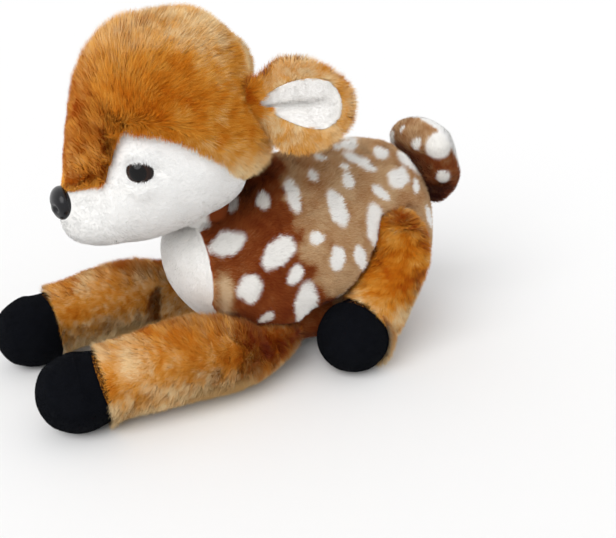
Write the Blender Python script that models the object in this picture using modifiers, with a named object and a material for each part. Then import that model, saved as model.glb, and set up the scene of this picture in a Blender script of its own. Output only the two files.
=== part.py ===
"""A stuffed toy fawn lying on its belly: sewn plush covers over polyester stuffing.

Metres, Z up. The toy faces -Y and its left side is +X. The origin is on the floor
under the middle of the belly. Every soft form is the sewn skin without its pile.
"""

import math

import bmesh
import bpy
import numpy as np
from mathutils import Matrix, Vector
from mathutils.bvhtree import BVHTree

# Whole toy
BODY_LENGTH = 0.185
BODY_WIDTH = 0.094
BODY_HEIGHT = 0.126
HEAD_LENGTH = 0.111
HEAD_WIDTH = 0.098
HEAD_HEIGHT = 0.1205
FORELEG_REACH = 0.142
FORELEG_THICKNESS = 0.041
HINDLEG_HEIGHT = 0.099
HINDLEG_THICKNESS = 0.045
HOOF_DIAMETER = 0.045
EAR_LENGTH = 0.052
EAR_HEIGHT = 0.044
TAIL_HEIGHT = 0.058
TAIL_WIDTH = 0.060
TAIL_THICKNESS = 0.030

# Sewn covers, stuffing and the gaps between pieces
FABRIC = 0.002
SEAM_GAP = 0.0003
TURN_GAP = 0.0005
STUFFING_GAP = 0.0008
LEG_STUFFING_GAP = 0.0015
FLAT_DEPTH = 0.0005

# Bought eyes and nose, each on a plastic shank held by a washer
EYE_DIAMETER = 0.0155
NOSE_WIDTH = 0.022
NOSE_HEIGHT = 0.019
SHANK_DIAMETER = 0.004
SHANK_LENGTH = 0.011
WASHER_DIAMETER = 0.012
WASHER_THICKNESS = 0.0015
EYE_BOW = 0.0015
NOSE_BOW = 0.0045

# Roots that turn: balls of stuffing in rounded seats, legs against flat seats
NECK_DIAMETER = 0.044
EAR_ROOT_DIAMETER = 0.016
TAIL_ROOT_DIAMETER = 0.024

LEG_SEAT_OFFSET = 0.3617 * BODY_WIDTH
CHIN_HEIGHT = 0.7262 * BODY_HEIGHT
BODY_FRONT = -0.475 * BODY_LENGTH
HEAD_FRONT = BODY_FRONT - 0.526 * HEAD_LENGTH
NECK = Vector((0, BODY_FRONT + 0.135 * BODY_LENGTH, CHIN_HEIGHT + 0.025 * HEAD_HEIGHT))
FORE_HINGE = Vector((LEG_SEAT_OFFSET, BODY_FRONT + 0.28 * BODY_LENGTH, 0.61 * HOOF_DIAMETER))
HIND_HINGE = Vector((LEG_SEAT_OFFSET, 0.27 * BODY_LENGTH, 0.78 * HINDLEG_HEIGHT))
TAIL_HINGE = Vector((0, BODY_FRONT + 0.941 * BODY_LENGTH, 0.80 * BODY_HEIGHT))
FAR_LEG_SHIFT = Vector((0, -0.063 * FORELEG_REACH, 0))
WORK = 4 * BODY_LENGTH

# Rings of each form as shares of its sizes: place along it, height of its widest level,
# half width, and how far it reaches above and below that level
BODY_RING_SHARES = [
    (0.022, 0.556, 0.213, 0.143, 0.143),
    (0.086, 0.524, 0.372, 0.246, 0.246),
    (0.205, 0.460, 0.447, 0.349, 0.349),
    (0.368, 0.476, 0.484, 0.490, 0.460),
    (0.600, 0.496, 0.500, 0.500, 0.500),
    (0.811, 0.480, 0.468, 0.488, 0.452),
    (0.925, 0.476, 0.345, 0.365, 0.312),
]
BODY_TIP_SHARES = (0.571, 0.476)
HEAD_RING_SHARES = [
    (0.050, 0.160, 0.120, 0.165, 0.125),
    (0.125, 0.195, 0.220, 0.372, 0.190),
    (0.272, 0.300, 0.380, 0.538, 0.302),
    (0.460, 0.378, 0.475, 0.586, 0.372),
    (0.690, 0.419, 0.500, 0.572, 0.365),
    (0.872, 0.452, 0.459, 0.480, 0.332),
    (0.954, 0.502, 0.296, 0.282, 0.224),
]
HEAD_TIP_SHARES = (0.145, 0.552)
NOSE_HEIGHT_SHARE = 0.215

# Leg rings: place sideways from the seat, forward or back and up, then the two half sizes
FORELEG_RING_SHARES = [
    (0.06, -0.115, 0.50, 0.09, 0.10),
    (0.14, -0.040, 0.50, 0.18, 0.18),
    (0.26, 0.080, 0.50, 0.30, 0.29),
    (0.34, 0.240, 0.61, 0.46, 0.45),
    (0.33, 0.460, 0.67, 0.49, 0.50),
    (0.27, 0.710, 0.61, 0.46, 0.46),
    (0.20, 0.845, 0.53, 0.50, 0.50),
    (0.18, 0.945, 0.53, 0.39, 0.39),
]
HINDLEG_RING_SHARES = [
    (0.160, 0.010, 0.900, 0.34, 0.22),
    (0.250, 0.010, 0.720, 0.44, 0.31),
    (0.280, -0.080, 0.500, 0.43, 0.34),
    (0.350, -0.230, 0.300, 0.40, 0.40),
    (0.515, -0.387, 0.242, 0.50, 0.50),
    (0.637, -0.523, 0.242, 0.38, 0.38),
]
HIND_HOOF_DIRECTION = Vector((0.38, -0.93, 0)).normalized()
# Leg seats on the body, from front to back: their upper edge just clears the swinging legs
FORE_SEAT_SHARES = [
    (0.323, 1.278),
    (0.239, 1.144),
    (0.154, 0.956),
    (0.070, 0.722),
    (0.014, 0.656),
    (-0.134, 0.656),
]
HIND_SEAT_SHARES = [
    (-0.646, 0.343),
    (-0.595, 0.364),
    (-0.444, 0.384),
    (-0.353, 0.449),
    (-0.292, 0.515),
    (-0.232, 0.601),
    (-0.171, 0.727),
    (-0.131, 0.899),
    (-0.070, 0.924),
    (0.100, 0.934),
]
TAIL_RING_SHARES = [(-0.38, 0.50), (-0.06, 0.95), (0.28, 0.92)]

MASK_SHARES = [
    (0.042, 0.285),
    (0.115, 0.330),
    (0.184, 0.360),
    (0.210, 0.436),
    (0.269, 0.590),
    (0.336, 0.598),
    (0.477, 0.572),
    (0.563, 0.535),
    (0.679, 0.466),
    (0.833, 0.341),
    (0.835, 0.290),
    (0.765, 0.191),
    (0.700, 0.080),
]
EYE_ORIGIN_SHARES = (0.594, 0.394)
EYE_DIRECTION = Vector((0.80, -0.59, 0.06)).normalized()
EAR_PLACE_SHARES = (0.895, 0.665)
EAR_DIRECTION = Vector((0.65, 0.76, -0.04)).normalized()
EAR_HALF_HEIGHT_SHARES = (0.27, 0.41, 0.49, 0.50, 0.46, 0.37, 0.20)
EAR_LINING_HALF_HEIGHT_SHARES = (0.13, 0.21, 0.27, 0.32, 0.34, 0.31, 0.16)
EAR_LINING_LOW_SHARE = 0.78
EAR_REACH_SHARES = (0.13, 1.01)
EAR_LINING_REACH_SHARES = (0.20, 0.94)


def clear_scene():
    for obj in list(bpy.data.objects):
        bpy.data.objects.remove(obj, do_unlink=True)


def new_collection(name, hidden):
    collection = bpy.data.collections.new(name)
    bpy.context.scene.collection.children.link(collection)
    collection.hide_render = hidden
    return collection


def add_object(name, mesh, collection):
    obj = bpy.data.objects.new(name, mesh)
    collection.objects.link(obj)
    return obj


def material(name, colour, roughness, metallic=0.0):
    """One material of a piece, in the colour seen on the toy."""
    made = bpy.data.materials.new(name)
    made.use_nodes = True
    shader = made.node_tree.nodes["Principled BSDF"]
    shader.inputs["Base Color"].default_value = (*colour, 1.0)
    shader.inputs["Roughness"].default_value = roughness
    shader.inputs["Metallic"].default_value = metallic
    made.diffuse_color = (*colour, 1.0)
    return made


def baked(obj):
    """The mesh of an object with its modifiers worked in, in place of its own."""
    bpy.context.view_layer.update()
    graph = bpy.context.evaluated_depsgraph_get()
    mesh = bpy.data.meshes.new_from_object(obj.evaluated_get(graph))
    obj.modifiers.clear()
    obj.data = mesh
    return obj


def boolean(obj, other, operation):
    """Cut, join or intersect one solid with another."""
    modifier = obj.modifiers.new(operation.lower(), "BOOLEAN")
    modifier.solver = "EXACT"
    modifier.use_self = True
    modifier.operation = operation
    modifier.object = other
    return baked(obj)


def cut(obj, *cutters):
    for cutter in cutters:
        boolean(obj, cutter, "DIFFERENCE")
    return obj


def copy_of(obj, name):
    return add_object(name, obj.data.copy(), CUTTERS)


def finish(obj, name, surface):
    """A finished piece: moved to the toy's own collection, named and coloured."""
    obj.name = name
    for collection in list(obj.users_collection):
        collection.objects.unlink(obj)
    TOY.objects.link(obj)
    obj.data.name = name
    obj.data.materials.clear()
    obj.data.materials.append(surface)
    obj.data.shade_smooth()
    obj.data.set_sharp_from_angle(angle=math.radians(40))
    obj.hide_render = False
    obj.display_type = "TEXTURED"
    return obj


def passing_cage(rings):
    """Corners of a cage whose smoothed skin passes through every given ring."""
    count, around = rings.shape[:2]
    along = np.eye(count)
    for i in range(1, count - 1):
        along[i, i - 1 : i + 2] = (1 / 6, 4 / 6, 1 / 6)
    ring = np.zeros((around, around))
    for j in range(around):
        for step, weight in ((-1, 1 / 6), (0, 4 / 6), (1, 1 / 6)):
            ring[j, (j + step) % around] = weight
    first = np.linalg.solve(along, rings.reshape(count, -1)).reshape(rings.shape)
    inner = np.linalg.solve(ring, first.transpose(1, 0, 2).reshape(around, -1))
    inner = inner.reshape(around, count, 3).transpose(1, 0, 2)
    inner[0] = rings[0]
    inner[-1] = rings[-1]
    return inner


def ring_rows(sections, start, end, around):
    """Points of every ring of a padded form, with its two ends as rings of no width."""
    angles = np.arange(around) * 2 * math.pi / around
    rows = [np.tile(np.array(start), (around, 1))]
    for centre, right, up, half_width, above, below in sections:
        wide = half_width * np.cos(angles)
        high = np.where(np.sin(angles) > 0, above, below) * np.sin(angles)
        rows.append(np.array(centre) + np.outer(wide, right) + np.outer(high, up))
    rows.append(np.tile(np.array(end), (around, 1)))
    return np.array(rows)


def closed_skin(name, rings):
    """Rings joined into one closed skin, drawn to a point at both ends."""
    around = rings.shape[1]
    built = bmesh.new()
    first = built.verts.new(rings[0, 0])
    loops = [[built.verts.new(point) for point in row] for row in rings[1:-1]]
    last = built.verts.new(rings[-1, 0])
    for j in range(around):
        k = (j + 1) % around
        built.faces.new((first, loops[0][k], loops[0][j]))
        built.faces.new((last, loops[-1][j], loops[-1][k]))
        for near, far in zip(loops[:-1], loops[1:]):
            built.faces.new((near[j], near[k], far[k], far[j]))
    bmesh.ops.recalc_face_normals(built, faces=built.faces)
    mesh = bpy.data.meshes.new(name)
    built.to_mesh(mesh)
    built.free()
    return add_object(name, mesh, CUTTERS)


def soft_form(name, sections, start, end, around):
    """A smooth padded skin through the rings, and the plain cage that it was smoothed from."""
    rows = ring_rows(sections, start, end, around)
    skin = closed_skin(name, passing_cage(rows))
    cage = copy_of(skin, name + "_cage")
    smooth = skin.modifiers.new("smooth", "SUBSURF")
    smooth.levels = 1
    smooth.render_levels = 1
    return baked(skin), cage


def settle(skin, cage):
    """Lower a form so that its underside is cut flat at the floor."""
    lowest = min(vertex.co.z for vertex in skin.data.vertices)
    skin.data.transform(Matrix.Translation((0, 0, -FLAT_DEPTH - lowest)))
    return skin, cage


def inset(obj, depth, name):
    """A copy of a form with its skin moved inwards."""
    made = copy_of(obj, name)
    normals = [vertex.normal.copy() for vertex in made.data.vertices]
    for vertex, normal in zip(made.data.vertices, normals):
        vertex.co -= normal * depth
    return made


def stuffing(skin, cage, gap, name):
    """A plainer body inside a skin: each corner of the cage lies this gap inside the fabric."""
    made = copy_of(cage, name)
    for corner, vertex in zip(made.data.vertices, skin.data.vertices):
        corner.co = vertex.co - vertex.normal * (FABRIC + gap)
    return made


def mirrored(obj, name, shift=Vector((0, 0, 0))):
    """The same form on the toy's other side."""
    made = copy_of(obj, name)
    made.data.transform(Matrix.Translation(shift) @ Matrix.Scale(-1, 4, (1, 0, 0)))
    made.data.flip_normals()
    return made


def box(name, low, high):
    built = bmesh.new()
    bmesh.ops.create_cube(built, size=1.0)
    mesh = bpy.data.meshes.new(name)
    built.to_mesh(mesh)
    built.free()
    low, high = Vector(low), Vector(high)
    size = Matrix.Diagonal((*(high - low), 1.0))
    mesh.transform(Matrix.Translation((low + high) / 2) @ size)
    return add_object(name, mesh, CUTTERS)


def ball(name, centre, diameter, segments=20):
    built = bmesh.new()
    rings = segments // 2
    bmesh.ops.create_uvsphere(built, u_segments=segments, v_segments=rings, radius=diameter / 2)
    mesh = bpy.data.meshes.new(name)
    built.to_mesh(mesh)
    built.free()
    mesh.transform(Matrix.Translation(centre))
    return add_object(name, mesh, CUTTERS)


def rod(name, start, direction, length, diameter, segments=12):
    """A round bar from one point along a direction."""
    built = bmesh.new()
    bmesh.ops.create_cone(
        built, cap_ends=True, segments=segments, radius1=diameter / 2, radius2=diameter / 2, depth=length
    )
    mesh = bpy.data.meshes.new(name)
    built.to_mesh(mesh)
    built.free()
    turn = direction.to_track_quat("Z", "Y").to_matrix().to_4x4()
    mesh.transform(Matrix.Translation(start + direction * length / 2) @ turn)
    return add_object(name, mesh, CUTTERS)


def grown_outline(corners, grow):
    """A side-view outline with every edge moved outwards."""
    area = sum(a[0] * b[1] - b[0] * a[1] for a, b in zip(corners, corners[1:] + corners[:1]))
    turn = math.copysign(1, area)
    moved = []
    for before, here, after in zip(corners[-1:] + corners[:-1], corners, corners[1:] + corners[:1]):
        first = (Vector(here) - Vector(before)).normalized()
        second = (Vector(after) - Vector(here)).normalized()
        out_first = turn * Vector((first.y, -first.x))
        out_second = turn * Vector((second.y, -second.x))
        mitre = (out_first + out_second).normalized()
        moved.append(Vector(here) + mitre * (grow / mitre.dot(out_first)))
    return moved


def side_outline(name, corners, grow, low, high, flare=0):
    """A side-view outline, grown and drawn out sideways, with its tops raised by flare on the far side."""
    corners = grown_outline(corners, grow)
    built = bmesh.new()
    near = [built.verts.new((low, y, z)) for y, z in corners]
    far = [built.verts.new((high, y, z + (flare if z > 0 else 0))) for y, z in corners]
    built.faces.new(near)
    built.faces.new(list(reversed(far)))
    for i in range(len(corners)):
        k = (i + 1) % len(corners)
        built.faces.new((near[k], near[i], far[i], far[k]))
    bmesh.ops.recalc_face_normals(built, faces=built.faces)
    mesh = bpy.data.meshes.new(name)
    built.to_mesh(mesh)
    built.free()
    return add_object(name, mesh, CUTTERS)


def plan_outline(name, corners, grow):
    """An outline seen from above, grown and drawn out from far below to far above."""
    made = side_outline(name, corners, grow, -WORK, WORK)
    made.data.transform(Matrix(((0, 1, 0, 0), (0, 0, 1, 0), (1, 0, 0, 0), (0, 0, 0, 1))))
    return made


def half_space(name, point, direction):
    """A large block on the far side of a plane through a point."""
    direction = direction.normalized()
    made = box(name, (-WORK, -WORK, 0), (WORK, WORK, WORK))
    turn = direction.to_track_quat("Z", "Y").to_matrix().to_4x4()
    made.data.transform(Matrix.Translation(point) @ turn)
    return made


def floor_block():
    return half_space("floor_block", Vector((0, 0, 0)), Vector((0, 0, -1)))


# Body: printed side panels, a white chest and belly panel, stuffing


def body_form():
    sections = []
    for along, middle, wide, above, below in BODY_RING_SHARES:
        centre = (0, BODY_FRONT + along * BODY_LENGTH, middle * BODY_HEIGHT)
        halves = (wide * BODY_WIDTH, above * BODY_HEIGHT, below * BODY_HEIGHT)
        sections.append((centre, (1, 0, 0), (0, 0, 1), *halves))
    front = (0, BODY_FRONT, BODY_TIP_SHARES[0] * BODY_HEIGHT)
    back = (0, BODY_FRONT + BODY_LENGTH, BODY_TIP_SHARES[1] * BODY_HEIGHT)
    return settle(*soft_form("body_form", sections, front, back, 12))


def leg_seat(side, grow):
    """The flat seat that the legs are sewn against, whose upper edge slopes out to the flank."""
    outline = [(-WORK, -WORK), (-WORK, FORE_SEAT_SHARES[0][1] * HOOF_DIAMETER)]
    for forward, up in FORE_SEAT_SHARES:
        outline.append((FORE_HINGE.y - forward * FORELEG_REACH, up * HOOF_DIAMETER))
    for back, up in HIND_SEAT_SHARES:
        outline.append((HIND_HINGE.y + back * HINDLEG_HEIGHT, up * HINDLEG_HEIGHT))
    outline += [(WORK, HIND_SEAT_SHARES[-1][1] * HINDLEG_HEIGHT), (WORK, -WORK)]
    inner = side * (LEG_SEAT_OFFSET - SEAM_GAP - grow)
    return side_outline("leg_seat", outline, grow, inner, side * BODY_WIDTH, 0.4 * BODY_WIDTH)


def belly_outline(grow):
    """The white panel in side view: the chest before the bib seam, then a strip under the belly."""
    seam = BODY_FRONT + 0.088 * BODY_LENGTH
    strip = 0.085 * BODY_HEIGHT
    corners = [
        (-WORK, WORK),
        (seam, WORK),
        (seam, 0.42 * BODY_HEIGHT),
        (seam + 0.06 * BODY_LENGTH, 0.22 * BODY_HEIGHT),
        (seam + 0.17 * BODY_LENGTH, strip),
        (WORK, strip),
        (WORK, -WORK),
        (-WORK, -WORK),
    ]
    return side_outline("belly_outline", corners, grow, -WORK, WORK)


def build_body(surfaces):
    outer, cage = body_form()
    inner = inset(outer, FABRIC, "body_inner")
    filling = stuffing(outer, cage, STUFFING_GAP, "body_stuffing")
    for side in (1, -1):
        cut(outer, leg_seat(side, 0))
        cut(inner, leg_seat(side, FABRIC))
        cut(filling, leg_seat(side, FABRIC + SEAM_GAP))
    neck = ball("neck_seat", NECK, NECK_DIAMETER + 2 * TURN_GAP)
    tail = ball("tail_seat", TAIL_HINGE, TAIL_ROOT_DIAMETER + 2 * TURN_GAP, 16)
    skin = cut(outer, floor_block(), inner, neck, tail)
    belly = boolean(copy_of(skin, "belly"), belly_outline(0), "INTERSECT")
    cut(skin, belly_outline(SEAM_GAP))
    for side, name in ((1, "left"), (-1, "right")):
        middle = Vector((side * SEAM_GAP / 2, 0, 0))
        half = cut(copy_of(skin, name), half_space("across", middle, Vector((-side, 0, 0))))
        finish(half, "body_print_" + name, surfaces["print"])
    finish(belly, "chest_belly_panel", surfaces["white"])
    finish(cut(filling, neck, tail), "body_filling", surfaces["stuffing"])
    finish(ball("neck_filling", NECK, NECK_DIAMETER), "neck_filling", surfaces["stuffing"])


# Head: long-pile crown, short-pile white mask in two halves, stuffing, eyes, nose, ears


def head_form():
    sections = []
    for along, middle, wide, above, below in HEAD_RING_SHARES:
        centre = (0, HEAD_FRONT + along * HEAD_LENGTH, CHIN_HEIGHT + middle * HEAD_HEIGHT)
        halves = (wide * HEAD_WIDTH, above * HEAD_HEIGHT, below * HEAD_HEIGHT)
        sections.append((centre, (1, 0, 0), (0, 0, 1), *halves))
    front = (0, HEAD_FRONT, CHIN_HEIGHT + HEAD_TIP_SHARES[0] * HEAD_HEIGHT)
    back = (0, HEAD_FRONT + HEAD_LENGTH, CHIN_HEIGHT + HEAD_TIP_SHARES[1] * HEAD_HEIGHT)
    return soft_form("head_form", sections, front, back, 10)


def head_point(along, up):
    return (HEAD_FRONT + along * HEAD_LENGTH, CHIN_HEIGHT + up * HEAD_HEIGHT)


def mask_outline(grow):
    """The white mask in side view: nose, bridge, brow, cheek, then all below the jaw line."""
    corners = [head_point(along, up) for along, up in MASK_SHARES]
    low = -WORK
    corners = [(low, corners[0][1]), *corners, (corners[-1][0], low), (low, low)]
    return side_outline("mask_outline", corners, grow, low, WORK)


def surface_point(tree, origin, direction):
    """Where a ray from inside a form leaves it, and which way the skin faces there."""
    far = origin + direction * HEAD_LENGTH
    place, normal, _, _ = tree.ray_cast(far, -direction)
    return place, normal.normalized()


def dome(name, place, direction, diameter, rise):
    """A round button with a flat back, standing on a plane."""
    made = ball(name, Vector((0, 0, 0)), diameter, 16)
    made.data.transform(Matrix.Diagonal((1.0, 1.0, 2 * rise / diameter, 1.0)))
    cut(made, half_space("back", Vector((0, 0, 0)), Vector((0, 0, -1))))
    turn = direction.to_track_quat("Z", "Y").to_matrix().to_4x4()
    made.data.transform(Matrix.Translation(place) @ turn)
    return made


def shanked(name, face, place, direction):
    """A moulded face with its shank, sunk into the head."""
    sink = FABRIC + SEAM_GAP
    start = place - direction * (SHANK_LENGTH - sink)
    shank = rod(name + "_shank", start, direction, SHANK_LENGTH + sink, SHANK_DIAMETER)
    return boolean(face, shank, "UNION")


def washer(name, place, direction, bow):
    """A plastic washer pushed up the shank to the inside of the cover, which bows away by this much."""
    back = place - direction * (FABRIC + bow + WASHER_THICKNESS)
    disc = rod(name, back, direction, WASHER_THICKNESS, WASHER_DIAMETER)
    bore = rod("bore", back - direction * FABRIC, direction, 4 * FABRIC, SHANK_DIAMETER + SEAM_GAP)
    return cut(disc, bore)


def shank_hole(place, direction):
    start = place - direction * SHANK_LENGTH
    return rod("shank_hole", start, direction, 2 * SHANK_LENGTH, SHANK_DIAMETER + 2 * SEAM_GAP)


def washer_pocket(place, direction):
    length = SHANK_LENGTH + SEAM_GAP
    return rod("pocket", place - direction * length, direction, 2 * length, WASHER_DIAMETER + 2 * SEAM_GAP)


def build_face(tree, surfaces):
    """Eyes and nose with their washers; gives back what must be cut from the head."""
    holes, pockets = [], []
    y, z = head_point(*EYE_ORIGIN_SHARES)
    for side, name in ((1, "left"), (-1, "right")):
        direction = Vector((side * EYE_DIRECTION.x, EYE_DIRECTION.y, EYE_DIRECTION.z))
        place, normal = surface_point(tree, Vector((0, y, z)), direction)
        base = place + normal * SEAM_GAP
        eye = dome("eye_" + name, base, normal, EYE_DIAMETER, 0.40 * EYE_DIAMETER)
        finish(shanked(eye.name, eye, place, normal), "eye_" + name, surfaces["eye"])
        finish(washer("washer", place, normal, EYE_BOW), "eye_washer_" + name, surfaces["plastic"])
        holes.append(shank_hole(place, normal))
        pockets.append(washer_pocket(place, normal))
    forward = Vector((0, -1, 0))
    y, z = head_point(0.2, NOSE_HEIGHT_SHARE)
    place, normal = surface_point(tree, Vector((0, y, z)), forward)
    nose = ball("nose", Vector((0, 0, 0)), NOSE_HEIGHT, 16)
    depth_share = 0.50
    nose.data.transform(Matrix.Diagonal((NOSE_WIDTH / NOSE_HEIGHT, depth_share, 1.0, 1.0)))
    nose.data.transform(Matrix.Translation(place))
    return holes, pockets, nose, place, normal


def build_head(surfaces):
    outer, cage = head_form()
    corners = [vertex.co for vertex in outer.data.vertices]
    tree = BVHTree.FromPolygons(corners, [face.vertices for face in outer.data.polygons])
    inner = inset(outer, FABRIC, "head_inner")
    filling = stuffing(outer, cage, STUFFING_GAP, "head_stuffing")
    holes, pockets, nose, place, normal = build_face(tree, surfaces)
    grown = inset(outer, -SEAM_GAP, "head_grown")
    cut(nose, grown)
    finish(shanked("nose", nose, place, normal), "nose", surfaces["nose"])
    finish(washer("washer", place, normal, NOSE_BOW), "nose_washer", surfaces["plastic"])
    holes.append(shank_hole(place, normal))
    pockets.append(washer_pocket(place, normal))
    seats = [ball("neck_seat", NECK, NECK_DIAMETER + 2 * TURN_GAP)]
    ear_y, ear_z = head_point(*EAR_PLACE_SHARES)
    for side, name in ((1, "left"), (-1, "right")):
        direction = Vector((side, 0, 0))
        root, _ = surface_point(tree, Vector((0, ear_y, ear_z)), direction)
        seats.append(ball("ear_seat", root, EAR_ROOT_DIAMETER + 2 * TURN_GAP, 12))
        build_ear(side, name, root, surfaces)
    skin = cut(outer, inner, *seats, *holes)
    mask = boolean(copy_of(skin, "mask"), mask_outline(0), "INTERSECT")
    crown = cut(skin, mask_outline(SEAM_GAP))
    for side, name in ((1, "left"), (-1, "right")):
        middle = Vector((side * SEAM_GAP / 2, 0, 0))
        half = cut(copy_of(mask, name), half_space("across", middle, Vector((-side, 0, 0))))
        finish(half, "mask_" + name, surfaces["white"])
    finish(crown, "head_crown", surfaces["golden"])
    finish(cut(filling, *seats, *pockets), "head_filling", surfaces["stuffing"])


def ear_sheet(name, root, side, reaches, halves, lift, low=1):
    """A leaf-shaped sheet between two distances from the root, dished to the front, its lower half by low."""
    across = 7
    along_dir = Vector((side * EAR_DIRECTION.x, EAR_DIRECTION.y, EAR_DIRECTION.z))
    up_dir = (Vector((0, 0, 1)) - along_dir * along_dir.z).normalized()
    face_dir = along_dir.cross(up_dir) * side
    rows = len(halves)
    built = bmesh.new()
    grid = []
    for i, half_share in enumerate(halves):
        share = reaches[0] + (reaches[1] - reaches[0]) * i / (rows - 1)
        deepest = 0.12 * EAR_HEIGHT * math.sin(math.pi / 2 * min(1, 1.7 * share))
        row = []
        for j in range(across):
            place = 2 * j / (across - 1) - 1
            height_share = half_share * place * (low if place < 0 else 1)
            dish = lift - deepest * (1 - 4 * height_share * height_share)
            point = root + along_dir * (share * EAR_LENGTH) + up_dir * (height_share * EAR_HEIGHT)
            point += face_dir * dish
            row.append(built.verts.new(point))
        grid.append(row)
    for i in range(rows - 1):
        for j in range(across - 1):
            built.faces.new((grid[i][j], grid[i][j + 1], grid[i + 1][j + 1], grid[i + 1][j]))
    mesh = bpy.data.meshes.new(name)
    built.to_mesh(mesh)
    built.free()
    obj = add_object(name, mesh, CUTTERS)
    thick = obj.modifiers.new("thick", "SOLIDIFY")
    thick.thickness = FABRIC
    thick.offset = 0
    return baked(obj)


def build_ear(side, name, root, surfaces):
    """An unstuffed ear: furred back with the gathered root, and a white lining sewn inside it."""
    back = ear_sheet("ear_back", root, side, EAR_REACH_SHARES, EAR_HALF_HEIGHT_SHARES, 0)
    boolean(back, ball("ear_root", root, EAR_ROOT_DIAMETER, 12), "UNION")
    finish(back, "ear_back_" + name, surfaces["golden"])
    halves = EAR_LINING_HALF_HEIGHT_SHARES
    lift = FABRIC + 2 * SEAM_GAP
    lining = ear_sheet("ear_lining", root, side, EAR_LINING_REACH_SHARES, halves, lift, EAR_LINING_LOW_SHARE)
    finish(lining, "ear_lining_" + name, surfaces["white"])


# Legs: furred covers, black hoof caps, stuffing


def path_form(name, points, half_sizes, start, end):
    """A form along a bent line: each ring square to the line there."""
    sections = []
    line = [start, *points, end]
    for i, (centre, (half_side, half_other)) in enumerate(zip(points, half_sizes)):
        ahead = (line[i + 2] - line[i]).normalized()
        right = Vector((1, 0, 0))
        right = (right - ahead * right.dot(ahead)).normalized()
        up = right.cross(ahead)
        sections.append((centre, right, up, half_side, half_other, half_other))
    return soft_form(name, sections, start, end, 8)


def foreleg_form():
    points, sizes = [], []
    for side_share, reach_share, up_share, wide, high in FORELEG_RING_SHARES:
        side = LEG_SEAT_OFFSET + side_share * FORELEG_THICKNESS
        y = FORE_HINGE.y - reach_share * FORELEG_REACH
        z = up_share * HOOF_DIAMETER
        points.append(Vector((side, y, z)))
        thick = HOOF_DIAMETER if reach_share > 0.8 else FORELEG_THICKNESS
        sizes.append((wide * thick, high * thick))
    start = points[0] + Vector((0, 0.02 * FORELEG_REACH, 0))
    end = points[-1] - Vector((0, 0.058 * FORELEG_REACH, 0))
    return path_form("foreleg_form", points, sizes, start, end)


def hindleg_form():
    points, sizes = [], []
    for side_share, back_share, up_share, wide, high in HINDLEG_RING_SHARES:
        side = LEG_SEAT_OFFSET + side_share * HINDLEG_THICKNESS
        points.append(Vector((side, HIND_HINGE.y + back_share * HINDLEG_HEIGHT, up_share * HINDLEG_HEIGHT)))
        sizes.append((wide * HINDLEG_THICKNESS, high * HINDLEG_THICKNESS))
    start = points[0] + Vector((0, 0, 0.045 * HINDLEG_HEIGHT))
    end = points[-1] + HIND_HOOF_DIRECTION * 0.08 * HINDLEG_HEIGHT
    return path_form("hindleg_form", points, sizes, start, end)


def foreleg_seat(grow):
    """All on the body's side of a foreleg: flat along the flank, then clear of the round lower leg."""
    chest = BODY_FRONT + 0.07 * BODY_LENGTH
    knee = chest - 0.2 * FORELEG_REACH
    clear = LEG_SEAT_OFFSET - 0.4 * FORELEG_THICKNESS
    corners = [(-WORK, -WORK), (clear, -WORK), (clear, knee), (LEG_SEAT_OFFSET, chest)]
    corners += [(LEG_SEAT_OFFSET, WORK), (-WORK, WORK)]
    return plan_outline("foreleg_seat", corners, grow)


def hindleg_seat(grow):
    return half_space("seat", Vector((LEG_SEAT_OFFSET + grow, 0, 0)), Vector((-1, 0, 0)))


def build_leg(kind, side_name, form, seat, seam, towards, mirror_shift, surfaces):
    """One leg: cover and hoof cap are the skin on either side of the hoof seam."""
    outer, cage = form
    inner = inset(outer, FABRIC, "leg_inner")
    filling = stuffing(outer, cage, LEG_STUFFING_GAP, "leg_stuffing")
    for solid, grow in ((outer, 0), (inner, FABRIC), (filling, FABRIC + SEAM_GAP)):
        cut(solid, seat(grow))
    skin = cut(outer, floor_block(), inner)
    hoof = cut(copy_of(skin, "hoof"), half_space("leg_side", seam + towards * SEAM_GAP / 2, -towards))
    cover = cut(skin, half_space("hoof_side", seam - towards * SEAM_GAP / 2, towards))
    pieces = ((cover, "cover", "golden"), (hoof, "hoof", "black"), (filling, "filling", "stuffing"))
    for solid, part, surface in pieces:
        if side_name == "right":
            solid = mirrored(solid, part, mirror_shift)
        finish(solid, kind + "_" + side_name + "_" + part, surfaces[surface])


def build_legs(surfaces):
    fore_seam = Vector((0, FORE_HINGE.y - 0.745 * FORELEG_REACH, 0))
    hoof_side = LEG_SEAT_OFFSET + 0.515 * HINDLEG_THICKNESS
    hoof_middle = Vector((hoof_side, HIND_HINGE.y - 0.387 * HINDLEG_HEIGHT, 0))
    hind_seam = hoof_middle - HIND_HOOF_DIRECTION * 0.22 * HOOF_DIAMETER
    for side_name in ("left", "right"):
        fore = settle(*foreleg_form())
        forward = Vector((0, -1, 0))
        build_leg("foreleg", side_name, fore, foreleg_seat, fore_seam, forward, FAR_LEG_SHIFT, surfaces)
        hind = settle(*hindleg_form())
        towards = HIND_HOOF_DIRECTION
        build_leg("hindleg", side_name, hind, hindleg_seat, hind_seam, towards, Vector((0, 0, 0)), surfaces)


# Tail: printed upper pad, white under pad, stuffing


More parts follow.
